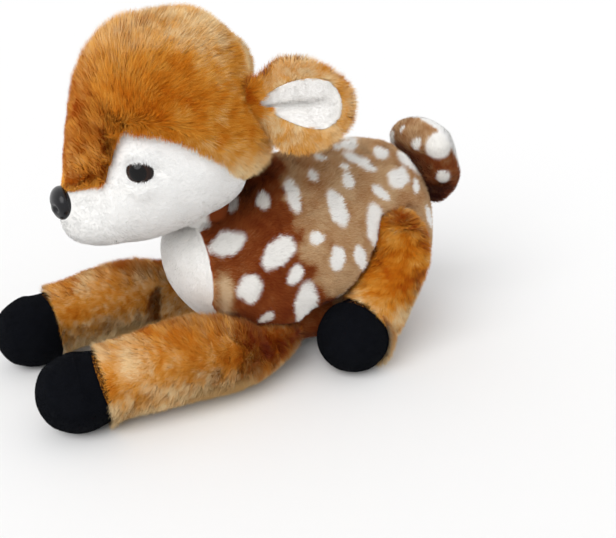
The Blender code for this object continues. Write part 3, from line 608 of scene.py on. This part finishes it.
# The outline of the white mask seen from the side, as shares of the head's length and height.
MASK = np.array([
    (-0.60, 0.285), (0.042, 0.285), (0.115, 0.330), (0.184, 0.360), (0.210, 0.436), (0.269, 0.590),
    (0.336, 0.598), (0.477, 0.572), (0.563, 0.535), (0.679, 0.466), (0.833, 0.341), (0.880, 0.270),
    (0.920, 0.120), (0.920, -0.60), (-0.60, -0.60),
])
MASK = MASK * (HEAD_LENGTH, HEAD_HEIGHT) + (HEAD_FRONT, CHIN_HEIGHT)

place = HEAD_FRONT + HEAD_SHARES[:, 0] * HEAD_LENGTH
head_line = np.stack((place * 0, place, CHIN_HEIGHT + HEAD_SHARES[:, 1] * HEAD_HEIGHT), 1)
head_halves = HEAD_SHARES[:, 2:] * (HEAD_WIDTH, HEAD_HEIGHT, HEAD_HEIGHT)
head_grid = stuffed_form(head_line, head_halves, 130, 140, True)

# The forehead is stuffed a little fuller and the nape is drawn in over the body. Folds of the
# cloth rise above and below each eye, which is drawn into the head by its shank.
head_out = outward(head_grid)
brow = (-head_out[..., 1:2]).clip(0, 1) * between(head_grid[..., 2:], 0.150, 0.180)
nape = between(head_grid[..., 2:], 0.142, 0.130) * between(head_grid[..., 1:2], -0.078, -0.066)
head_grid = head_grid + head_out * (0.0010 * brow - 0.0020 * nape)
EYE_WAY = unit(np.array((0.8317, -0.5482, 0.0883)))
EYE_PLACE = np.array((0.03959, -0.10952, 0.14195)) - EYE_WAY * 0.0012
away = on_left(head_grid) - EYE_PLACE
reach = np.linalg.norm(away, axis=-1, keepdims=True)
lids = bell(reach - 0.0100, 0.0052) * (away[..., 2:] / reach.clip(1e-6)) ** 2
lids *= np.where(away[..., 2:] > 0, 0.0038, 0.0030)
head_grid = head_grid + head_out * lids
head_out = outward(head_grid)


def in_outline(flat, outline):
    """Whether flat points lie inside a closed outline, by how many edges a line from each crosses."""
    a, b = outline, np.roll(outline, -1, 0)
    y, z = flat[..., :1], flat[..., 1:]
    spans = (a[:, 1] > z) != (b[:, 1] > z)
    rise = np.where(b[:, 1] == a[:, 1], 1e-9, b[:, 1] - a[:, 1])
    return (spans & (y < a[:, 0] + (z - a[:, 1]) / rise * (b[:, 0] - a[:, 0]))).sum(-1) % 2 == 1


def from_outline(flat, outline):
    """How far flat points lie from an outline, and the way to its nearest place."""
    a, b = outline, np.roll(outline, -1, 0)
    edge = b - a
    t = (((flat[:, None] - a) * edge).sum(-1) / (edge**2).sum(-1)).clip(0, 1)
    way = a + t[..., None] * edge - flat[:, None]
    far = np.linalg.norm(way, axis=-1)
    nearest = far.argmin(1)
    rows = np.arange(len(flat))
    return far[rows, nearest], way[rows, nearest]


GOLDEN_TONES = [(0.0, (184, 80, 2)), (0.3, (212, 122, 16)), (0.6, (232, 166, 66)), (1.0, (250, 222, 172))]
GOLDEN = plush("golden_long_plush", GOLDEN_TONES, 0.82)

# The mask's skin dips under the crown's outside its outline.
dip = np.where(in_outline(head_grid[..., 1:], MASK), 0, 0.0012)
mask_grid = head_grid - head_out * dip[..., None]
for name, grid, surface, slot, nodes in (
    ("head_skin", head_grid - head_out * 0.0004, GOLDEN, "golden_plush", ("head_crown", "head_filling")),
    ("mask_skin", mask_grid, WHITE, "white_plush", ("mask_left", "mask_right")),
):
    # The skins take the pile's painted root shade at along 0.3, shade in the gaps between strands.
    made = skin(name, grid, surface, tone=0.3, along=0.3, shade=0.3)
    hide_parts(*nodes)
    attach(made, "head")


def golden_tone(points, pale, calm=0.0):
    """How pale the golden pile is: patches of three sizes, weaker by calm, raised by pale."""
    warm = 0.50 * (soft_patches(points, 0.018, 31) - 0.5) + 0.30 * (soft_patches(points, 0.007, 32) - 0.5)
    warm += 0.50 * (soft_patches(points, 0.0025, 33) - 0.5)
    return 0.22 + warm * (1 - calm) + pale


EAR_ROOT = np.array((0.036893, -0.046916, 0.1716337))
EAR_AHEAD = unit(np.array((0.65, 0.76, -0.04)))
roots, out = planted(head_grid, 9.0, 41, head_out)
ragged = roots[:, 1:] + 0.0016 * np.stack((soft_patches(roots, 0.003, 42), soft_patches(roots, 0.003, 43)), 1)
white = in_outline(ragged - 0.0008, MASK)
far, way = from_outline(roots[:, 1:], MASK)
for side, name in ((1, "left"), (-1, "right")):
    on = ~white & (roots[:, 0] * side > 0)
    flip = np.array((side, 1, 1))
    mirrored, facing = roots[on] * flip, out[on] * flip
    x, y, z = mirrored.T
    back = between(y, -0.085, -0.045)
    front = between(facing[:, 1], -0.10, -0.50)
    by_seam = np.exp(-far[on] / 0.006)
    by_ear = bell(np.linalg.norm(mirrored - EAR_ROOT, axis=1), 0.013) * between(y, -0.038, -0.048)
    # Combed back over the head, up from the nose, down the nape, over the seam and out along the ear.
    comb = np.stack((0.35 * (x / 0.04) ** 2, 0 * x + 1.0, 0.35 - 1.2 * back + 1.2 * front), 1)
    over_seam = np.concatenate((0 * way[on][:, :1], unit(way[on])), 1)
    comb = unit(comb) * (1 - by_seam[:, None]) + over_seam * by_seam[:, None]
    comb = unit(comb) * (1 - by_ear[:, None]) + EAR_AHEAD * by_ear[:, None] * 1.5
    # Long, but shorter on the nose and the back, by the seam and the ear, and below the nape.
    length = np.interp(facing[:, 1], (-0.8, -0.3, 0.2, 0.7), (0.0130, 0.0122, 0.0110, 0.0070))
    length += 0.0095 * bell(z - 0.154, 0.014) * between(facing[:, 1], 0.3, 0.7)
    length = 0.0035 + (length - 0.0035) * between(y, -0.140, -0.115)
    below_nape = between(z, 0.140, 0.128) * between(y, -0.075, -0.065)
    length *= (1 - 0.35 * by_seam) * (1 - 0.65 * by_ear) * (1 - 0.75 * below_nape)
    # Palest on top and low behind. Where it faces ahead it is painted paler as painted light on the
    # front, and by the ear it is painted darker as painted shade in the crease at the ear's root.
    pale = 0.50 * between(z, 0.176, 0.217) + 0.25 * back - 0.15 * by_ear - 0.03
    pale += 0.22 * between(facing[:, 1], -0.55, -0.95) + 0.66 * between(z, 0.160, 0.140) * back
    strands = pile(
        "crown_pile_" + name, roots[on], out[on], comb * flip, GOLDEN, 44 + side,
        length=length, lean=0.68, thick=0.00045, stray=0.8, tone=golden_tone(roots[on], pale, 0.6 * front),
    )
    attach(strands, "head")

NOSE_PLACE = np.array((0, -0.1440, 0.1176))
roots, out = planted(head_grid, 10.0, 45, head_out)
on = in_outline(roots[:, 1:], MASK)
on &= np.linalg.norm((roots - NOSE_PLACE - (0, 0.0005, -0.0002)) / (0.0105, 0.02, 0.009), axis=1) > 1
flip = np.sign(roots[on, :1]) * (1, 0, 0) + (0, 1, 1)
away = on_left(roots[on]) - EYE_PLACE
reach = np.linalg.norm(away, axis=1, keepdims=True)
lash = bell(reach - 0.0085, 0.0022) * (away[:, 2:] / reach) ** 2
comb = unit(np.array((0.4, 1.0, -0.2))) * flip * (1 - lash) - away / reach * flip * lash * 1.5
strands = pile(
    "mask_pile", roots[on], out[on], comb, WHITE, 46, length=0.0019 + 0.0030 * lash[:, 0], lean=1.0,
    thick=0.0004, stray=0.35, tone=0.55 + 0.3 * soft_patches(roots[on], 0.006, 47),
)
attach(strands, "head")

# Eyes. Bought buttons of glossy plastic, a brown iris round a black pupil under a clear dome,
# each on a shank through the mask with a washer behind it.

EYE_RADIUS, EYE_RISE, EYE_DEPTH = 0.00775, 0.0062, 0.0012


def button(name, place, way, surface):
    """A domed disc that faces way: a ball with one height in front and another behind."""
    across = unit(np.cross(way, (0, 0, 1.0)))
    ball = ball_grid((0, 0, 0), (1, 1, 1), 33, 48)
    away = np.linalg.norm(ball[..., :2], axis=-1)
    ball *= EYE_RADIUS, EYE_RADIUS, 1
    ball[..., 2] *= np.where(ball[..., 2] > 0, EYE_RISE, EYE_DEPTH)
    grid = place + ball @ np.stack((across, np.cross(across, way), way))
    return skin(name, grid, surface, away=away)


# The pupil, a thin brown iris and the dark rim, by the distance from the middle of the eye.
EYE_COLOURS = [
    (0.0, (8, 7, 7)), (0.56, (6, 5, 5)), (0.64, (40, 22, 14)), (0.84, (28, 15, 10)), (1.0, (6, 5, 5)),
]
EYE, tree, shader = new_material("eye_plastic")
away = tree.nodes.new("ShaderNodeAttribute")
away.attribute_name = "away"
ramp = colour_bands(tree, EYE_COLOURS)
tree.links.new(away.outputs["Fac"], ramp.inputs["Fac"])
tree.links.new(ramp.outputs["Color"], shader.inputs["Base Color"])
shader.inputs["Roughness"].default_value = 0.08
shader.inputs["Specular IOR Level"].default_value = 0.22
for side, name in ((1, "left"), (-1, "right")):
    eye = button("eye_dome_" + name, EYE_PLACE * (side, 1, 1), EYE_WAY * (side, 1, 1), EYE)
    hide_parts("eye_" + name, "eye_washer_" + name)
    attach(eye, "head")

# Nose. One moulded piece of black plastic with two nostrils, on a shank with a washer.

NOSE, tree, shader = new_material("nose_plastic")
grain = tree.nodes.new("ShaderNodeTexNoise")
grain.inputs["Scale"].default_value = 900
where = tree.nodes.new("ShaderNodeTexCoord")
tree.links.new(where.outputs["Object"], grain.inputs["Vector"])
ramp = colour_bands(tree, [(0.0, (9, 9, 11)), (1.0, (24, 24, 28))])
tree.links.new(grain.outputs["Fac"], ramp.inputs["Fac"])
tree.links.new(ramp.outputs["Color"], shader.inputs["Base Color"])
shader.inputs["Roughness"].default_value = 0.25
shader.inputs["Specular IOR Level"].default_value = 0.3

# A flattened ball, wider above, with a pit for each nostril and a groove between them.
NOSE_HALVES = (0.011, 0.0065, 0.0095)
nose_grid = ball_grid((0, 0, 0), NOSE_HALVES, 49, 64)
x, y, z = np.moveaxis(nose_grid, -1, 0)
nose_grid[..., 0] = x * (1 + 16 * z)
for side in (1, -1):
    nose_grid[..., 1] += 0.0026 * bell(x - side * 0.0050, 0.0022) * bell(z + 0.0010, 0.0018) * (y < 0)
nose_grid[..., 1] += 0.0010 * bell(x, 0.0010) * (y < 0) * (z < 0.002)
nose_grid += NOSE_PLACE
nose = skin("nose_moulding", nose_grid, NOSE)
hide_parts("nose", "nose_washer")
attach(nose, "head")

# Ears. Each is a leaf of golden plush, folded forward a little, lined with white plush and
# gathered at its root, where it swings.

EAR_LENGTH, EAR_HEIGHT = 0.052, 0.044
# The rims as shares: reach along the ear's length, and half of its height there.
EAR_BACK = np.array([
    (-0.10, 0), (0.0, 0.20), (0.13, 0.28), (0.277, 0.41), (0.423, 0.49), (0.57, 0.50),
    (0.717, 0.46), (0.863, 0.37), (1.01, 0.20), (1.05, 0),
])
EAR_LINING = np.array([
    (0.0, 0), (0.10, 0.06), (0.20, 0.12), (0.323, 0.20), (0.447, 0.27), (0.57, 0.32),
    (0.693, 0.35), (0.817, 0.335), (0.93, 0.22), (0.99, 0),
])
LINING_BELOW = 0.78


def ear_grid(side, root, outline, lift, thick, low=1):
    """A leaf between the rims of an outline: across it the rim times cos, through it thickness times sin.

    Its middle is dished by a share of the ear's height, and a crease runs along the dish. Below its
    middle line the rim is multiplied by low. It returns the grid, the ways along the ear and out of
    its face, and the reach and height of each place as shares.
    """
    ahead = EAR_AHEAD * (side, 1, 1)
    up = unit(np.array((0, 0, 1.0)) - ahead * ahead[2])
    face = np.cross(ahead, up) * side
    even = np.linspace(0, 1, 64)
    even = 0.4 * even + 0.3 * (1 - np.cos(math.pi * even))
    reach = outline[0, 0] + (outline[-1, 0] - outline[0, 0]) * even
    half = np.sqrt(smooth_between(outline[:, 0], outline[:, 1:] ** 2, reach).clip(0))
    turn = np.linspace(0, 2 * math.pi, 91)
    high = half * np.cos(turn) * np.where(np.cos(turn) < 0, low, 1)
    body = thick(reach)[:, None] / 2 * np.sin(turn) * np.minimum(1, half / 0.1)
    reach = reach[:, None] + 0 * high
    dish = lift - 0.12 * EAR_HEIGHT * np.sin(math.pi / 2 * (1.7 * reach).clip(0, 1)) * (1 - 4 * high**2)
    fold = -0.10 + 0.16 * reach
    deep = 0.0044 * bell(high - fold, 0.03 + 0.05 * reach) * np.sin(math.pi * between(reach, 0.12, 0.92))
    grid = (
        root
        + (reach * EAR_LENGTH)[..., None] * ahead
        + (high * EAR_HEIGHT)[..., None] * up
        + (dish - deep + body)[..., None] * face
    )
    return grid, ahead, face, reach, high


EAR_ROOT_RIGHT = np.array((-0.036735, -0.046916, 0.1716337))
for side, name, root in ((1, "left", EAR_ROOT), (-1, "right", EAR_ROOT_RIGHT)):
    grid, ahead, face, reach, high = ear_grid(
        side, root, EAR_BACK, 0, lambda at: 0.003 + 0.007 * between(at, 0.4, 0)
    )
    back = skin("ear_skin_" + name, grid, GOLDEN, tone=0.3, along=0.3, shade=0.3)
    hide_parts("ear_back_" + name)
    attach(back, "ear_" + name)
    # Pile stands all over the leaf but under the lining. It is combed from the middle to the rim,
    # and near the root along the ear, and at the rim it stands out past the lining.
    roots, out, far, tall = planted(grid, 10.0, 51 + side, outward(grid), reach, high)
    lined = smooth_between(EAR_LINING[:, 0], EAR_LINING[:, 1:] ** 2, far)[:, 0].clip(0) ** 0.5
    lined = np.where(tall < 0, LINING_BELOW * lined, lined)
    on = ~((np.abs(tall) < lined - 0.02) & (far > 0.04) & (far < 0.96) & (out @ face > 0.2))
    rim = roots[on] - root - ahead * (0.5 * EAR_LENGTH)
    rim -= face * (rim @ face)[:, None]
    close = between(far[on], 0.35, 0.05)[:, None]
    comb = unit(rim) * (1 - close) + ahead * (0.4 + close)
    rim_out = unit(out[on] + unit(rim) * (np.abs(tall[on]) ** 1.5)[:, None])
    # The pile is painted darker near the root, painted shade in the crease where the ear meets the head.
    strands = pile(
        "ear_pile_" + name, roots[on], rim_out, comb, GOLDEN, 53 + side,
        length=0.0072, lean=0.75, thick=0.00045, tone=golden_tone(roots[on], 0.42 - 0.50 * close[:, 0]),
    )
    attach(strands, "ear_" + name)
    grid, *_ = ear_grid(side, root, EAR_LINING, 0.0026, lambda at: 0.002 + 0 * at, LINING_BELOW)
    lining = skin("ear_lining_skin_" + name, grid, WHITE, tone=0.4, along=0.4, shade=0.4)
    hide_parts("ear_lining_" + name)
    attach(lining, "ear_" + name)
    roots, out = planted(grid, 9.0, 55 + side, outward(grid))
    on = out @ face > 0
    # The lining's pile is painted in the darkest whites: painted shade inside the dished ear.
    strands = pile(
        "ear_lining_pile_" + name, roots[on], out[on], ahead, WHITE, 57 + side, length=0.0018, lean=1.0,
        thick=0.0005, stray=0.4, tone=-0.15 + 0.3 * soft_patches(roots[on], 0.006, 59),
    )
    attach(strands, "ear_" + name)

# Legs. Golden plush tubes sewn flat against the body, each closed by a round hoof cap of black
# fleece. The golden pile stands out over the seam of the cap.

FLEECE = plush("black_fleece", [(0.0, (3, 4, 7)), (1.0, (15, 18, 26))], 0.6, rough=0.95, sheen=0.0)


def leg_seat(points, hoof_seat):
    """How near a leg may come to the middle: SEAT along the flank, and hoof_seat at the hoof ahead."""
    return np.interp(points[..., 1], (-0.1033, -0.0749), (hoof_seat, SEAT))


def capped(rows):
    """The rows of a grid, closed before the first of them by a flat end at its middle."""
    end = np.broadcast_to(rows[0, :-1].mean(0), rows[:1].shape)
    return np.concatenate((end, rows))


FORE_HOOF_SEAT = 0.0176
# A place on the seam of each kind's hoof cap, and the way across it to the hoof.
FORE_SEAM, FORE_WAY = np.array((0, -0.141865, 0)), np.array((0, -1.0, 0))
HIND_TURN = np.array((SEAT + 0.515 * HINDLEG_THICKNESS, HIND_HINGE_Y - 0.387 * HINDLEG_HEIGHT, 0))
HIND_SEAM = HIND_TURN - HIND_WAY * 0.22 * HOOF

for kind, (line, halves), hoof_seat, seam_at, seam_way in (
    ("foreleg", foreleg_stations(), FORE_HOOF_SEAT, FORE_SEAM, FORE_WAY),
    ("hindleg", hindleg_stations(), SEAT, HIND_SEAM, HIND_WAY),
):
    form = stuffed_form(line, halves, 120, 90, False)
    ahead = unit(np.gradient(form[:, :-1].mean(1), axis=0))
    first = int(np.argmax((form[:, :-1].mean(1) - seam_at) @ seam_way > 0))
    form[..., 0] = np.maximum(form[..., 0], leg_seat(form, hoof_seat))
    form = lowered(form)
    past = (form - seam_at) @ seam_way
    for side, name in ((1, "left"), (-1, "right")):
        body = kind + "_" + name
        flip = np.array((side, 1, 1))
        shift = np.array((0, -FAR_LEG_SHIFT if body == "foreleg_right" else 0, 0))
        grid = form * flip + shift
        ways = outward(grid)
        cover_rows = (grid - ways * 0.0003)[: first + 1]
        cover_grid = capped(cover_rows[::-1])[::-1]
        cover = skin(body + "_skin", cover_grid, GOLDEN, tone=0.3, along=0.3, shade=0.3)
        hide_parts(body + "_cover", body + "_filling")
        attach(cover, body)
        hoof = skin(body + "_hoof_skin", capped(grid[first:]), FLEECE, tone=0.3, along=0.3, shade=0.3)
        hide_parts(body + "_hoof")
        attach(hoof, body)

        # Golden pile as far as the seam, where it stands over the hoof, but none against the flank.
        course = np.broadcast_to((ahead * flip)[:, None], grid.shape)
        roots, out, flow, past_seam = planted(grid, 8.0, 61 + side, ways, course, past)
        mirrored = (roots - shift) * flip
        against = (mirrored[:, 0] < leg_seat(mirrored, hoof_seat) + 0.0003) & (mirrored[:, 1] > -0.045)
        on = (past_seam < 0) & (roots[:, 2] > 0.0008) & ~against
        edge = np.exp(past_seam[on] / 0.006)
        inner = between(-out[on, 0] * side, 0.2, 0.7)
        up = out[on, 2]
        y, z = mirrored[on, 1:].T
        # It is shorter on the inner side, and paler above, underneath and by the seam than on the side.
        length = 0.0068 * (1 + 0.10 * edge) * (1 - inner * (0.6 if kind == "hindleg" else 0.3))
        pale = 0.13 + 0.16 * between(up, 0.3, 1) + 0.22 * edge + 0.65 * (0.25 - up).clip(0, 1)
        if kind == "foreleg":
            length += 0.0040 * bell(y + 0.080, 0.024) * up.clip(0, 1)
        else:
            pale += 0.08 - 0.30 * between(z, 0.040, 0.060) - 0.16 * bell(z - 0.056, 0.018)
        strands = pile(
            body + "_pile", roots[on], out[on], flow[on], GOLDEN, 63 + side,
            length=length, lean=0.70, thick=0.00045, tone=golden_tone(roots[on], pale),
        )
        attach(strands, body)

        # The fleece is a short nap that stands every way.
        roots, out, past_seam = planted(grid, 7.0, 65 + side, ways, past)
        on = (past_seam > 0) & (roots[:, 2] > 0.0005)
        comb = np.random.default_rng(67).normal(size=(on.sum(), 3))
        strands = pile(
            body + "_hoof_pile", roots[on], out[on], comb, FLEECE, 68 + side, length=0.0013, lean=0.8,
            thick=0.00045, tone=0.2 + 0.5 * soft_patches(roots[on], 0.003, 69),
        )
        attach(strands, body)

# Tail. A short padded tail, printed plush on top and white plush underneath, which swings up
# and down on its gathered root.

TAIL_HINGE = np.array((0, 0.08621, 0.1008))
TAIL_HEIGHT, TAIL_WIDTH, TAIL_THICKNESS = 0.058, 0.060, 0.030
TAIL_MIDDLE = TAIL_HINGE + (0, 0.48 * TAIL_THICKNESS, 0.12 * TAIL_HEIGHT)
TAIL_AXIS = unit(np.array((0, -0.32, 1)))
# Places along the axis as shares of the height, and the share of the width and thickness there.
TAIL_SHARES = np.array([(-0.5, 0), (-0.38, 0.50), (-0.06, 0.95), (0.28, 0.92), (0.5, 0)])
tail_line = TAIL_MIDDLE + TAIL_SHARES[:, :1] * TAIL_HEIGHT * TAIL_AXIS
tail_halves = TAIL_SHARES[:, 1:] / 2 * (TAIL_WIDTH, TAIL_THICKNESS, TAIL_THICKNESS)
tail_grid = stuffed_form(tail_line, tail_halves, 70, 72, False)
# How far each place lies past the seam, towards the white underside.
UNDER = unit(np.array((0, 0.80, 0.45)))
tail_under = (tail_grid - TAIL_MIDDLE) @ UNDER - 0.15 * TAIL_THICKNESS - 0.0018
# The middle and the radius of each spot.
TAIL_SPOTS = np.array([
    (0.0258, 0.0916, 0.1250, 0.0086),
    (0.0126, 0.0840, 0.1238, 0.0036),
    (0.0262, 0.0960, 0.1040, 0.0042),
    (-0.0060, 0.0836, 0.1290, 0.0030),
    (-0.0160, 0.0880, 0.1180, 0.0070),
    (-0.0180, 0.0930, 0.1000, 0.0055),
])


def tail_spot(points):
    """How far a place lies on a white spot of the tail: round spots with soft edges."""
    away = np.linalg.norm(points[..., None, :] - TAIL_SPOTS[:, :3], axis=-1) / TAIL_SPOTS[:, 3]
    return between(away.min(-1), 1.12, 0.90)


def tail_tone(points):
    """How light the tail's printed brown is, 0 to 1: tan round the tip, red-brown below."""
    patches = 0.30 * (soft_patches(points, 0.006, 73) - 0.5) + 0.24 * (soft_patches(points, 0.0025, 75) - 0.5)
    return 0.16 + 0.34 * between(points[..., 2], 0.116, 0.126) + patches


tone, spot = tail_tone(tail_grid), np.where(tail_under > 0, 1.0, tail_spot(tail_grid))
# The skin's along follows its tone, so it takes more painted root shade where its brown is darker.
tail_skin = skin("tail_skin", tail_grid, PRINT, tone=tone, along=tone, shade=tone, spot=spot)
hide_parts("tail_top", "tail_underside", "tail_filling")
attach(tail_skin, "tail")
roots, out, under = planted(tail_grid, 6.5, 71, outward(tail_grid), tail_under)
for name, on, surface, slot in (
    ("tail_pile", under < 0, PRINT, "printed_plush"),
    ("tail_under_pile", under >= 0, WHITE, "white_plush"),
):
    strands = pile(
        name, roots[on], out[on], np.array((0, 0.3, 1.0)), surface, 74, length=0.0045, lean=0.85,
        thick=0.00055, stray=0.6, tone=tail_tone(roots[on]), spot=tail_spot(roots[on]),
    )
    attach(strands, "tail")

# Floor, lamps and camera. A pale floor that keeps the toy's shadow, a soft sky and one wide
# lamp from the upper front, and the photograph's view from the toy's left front.

floor_mesh = bpy.data.meshes.new("floor")
floor_mesh.from_pydata([(-3, -3, 0), (3, -3, 0), (3, 3, 0), (-3, 3, 0)], [], [(0, 1, 2, 3)])
floor = placed("floor", floor_mesh)
paper, _, shader = new_material("pale_floor")
shader.inputs["Base Color"].default_value = (0.88, 0.88, 0.88, 1)
shader.inputs["Roughness"].default_value = 0.9
shader.inputs["Specular IOR Level"].default_value = 0.0
floor_mesh.materials.append(paper)

# The sky lights the toy at the first strength. The camera and glossy reflections see the second.
SKY_LIGHT, SKY_SEEN = 0.74, 1.0
world = bpy.data.worlds.new("soft_sky")
bpy.context.scene.world = world
world.use_nodes = True
tree = world.node_tree
sky = tree.nodes["Background"]
sky.inputs["Color"].default_value = (1, 1, 1, 1)
path = tree.nodes.new("ShaderNodeLightPath")
plain = tree.nodes.new("ShaderNodeMath")
plain.operation = "MAXIMUM"
tree.links.new(path.outputs["Is Camera Ray"], plain.inputs[0])
tree.links.new(path.outputs["Is Glossy Ray"], plain.inputs[1])
strength = tree.nodes.new("ShaderNodeMapRange")
tree.links.new(plain.outputs[0], strength.inputs["Value"])
strength.inputs["To Min"].default_value = SKY_LIGHT
strength.inputs["To Max"].default_value = SKY_SEEN
tree.links.new(strength.outputs["Result"], sky.inputs["Strength"])

lamp = bpy.data.lights.new("wide_lamp", "SUN")
lamp.energy = 1.9
lamp.angle = math.radians(50)
lamp_object = placed("wide_lamp", lamp)
lamp_object.location = (0.55, -0.80, 0.85)
lamp_object.rotation_euler = Vector((0.50, -0.75, 0.80)).to_track_quat("Z", "Y").to_euler()

FOCAL_PIXELS, IMAGE_WIDTH = 804, 616
AIM, DISTANCE = Vector((0, 0.00954, 0.04554)), 0.54
turn, tilt = math.radians(62.5), math.radians(24.3)
towards = Vector((math.sin(turn) * math.cos(tilt), -math.cos(turn) * math.cos(tilt), math.sin(tilt)))
right = Vector((math.cos(turn), math.sin(turn), 0))
camera_data = bpy.data.cameras.new("camera")
camera_data.sensor_fit = "HORIZONTAL"
camera_data.sensor_width = 36
camera_data.lens = FOCAL_PIXELS / IMAGE_WIDTH * camera_data.sensor_width
camera = placed("camera", camera_data)
pose = Matrix((right, towards.cross(right), towards)).transposed().to_4x4()
pose.translation = AIM + DISTANCE * towards
camera.matrix_world = pose
bpy.context.scene.camera = camera
bpy.context.scene.view_settings.view_transform = "Standard"
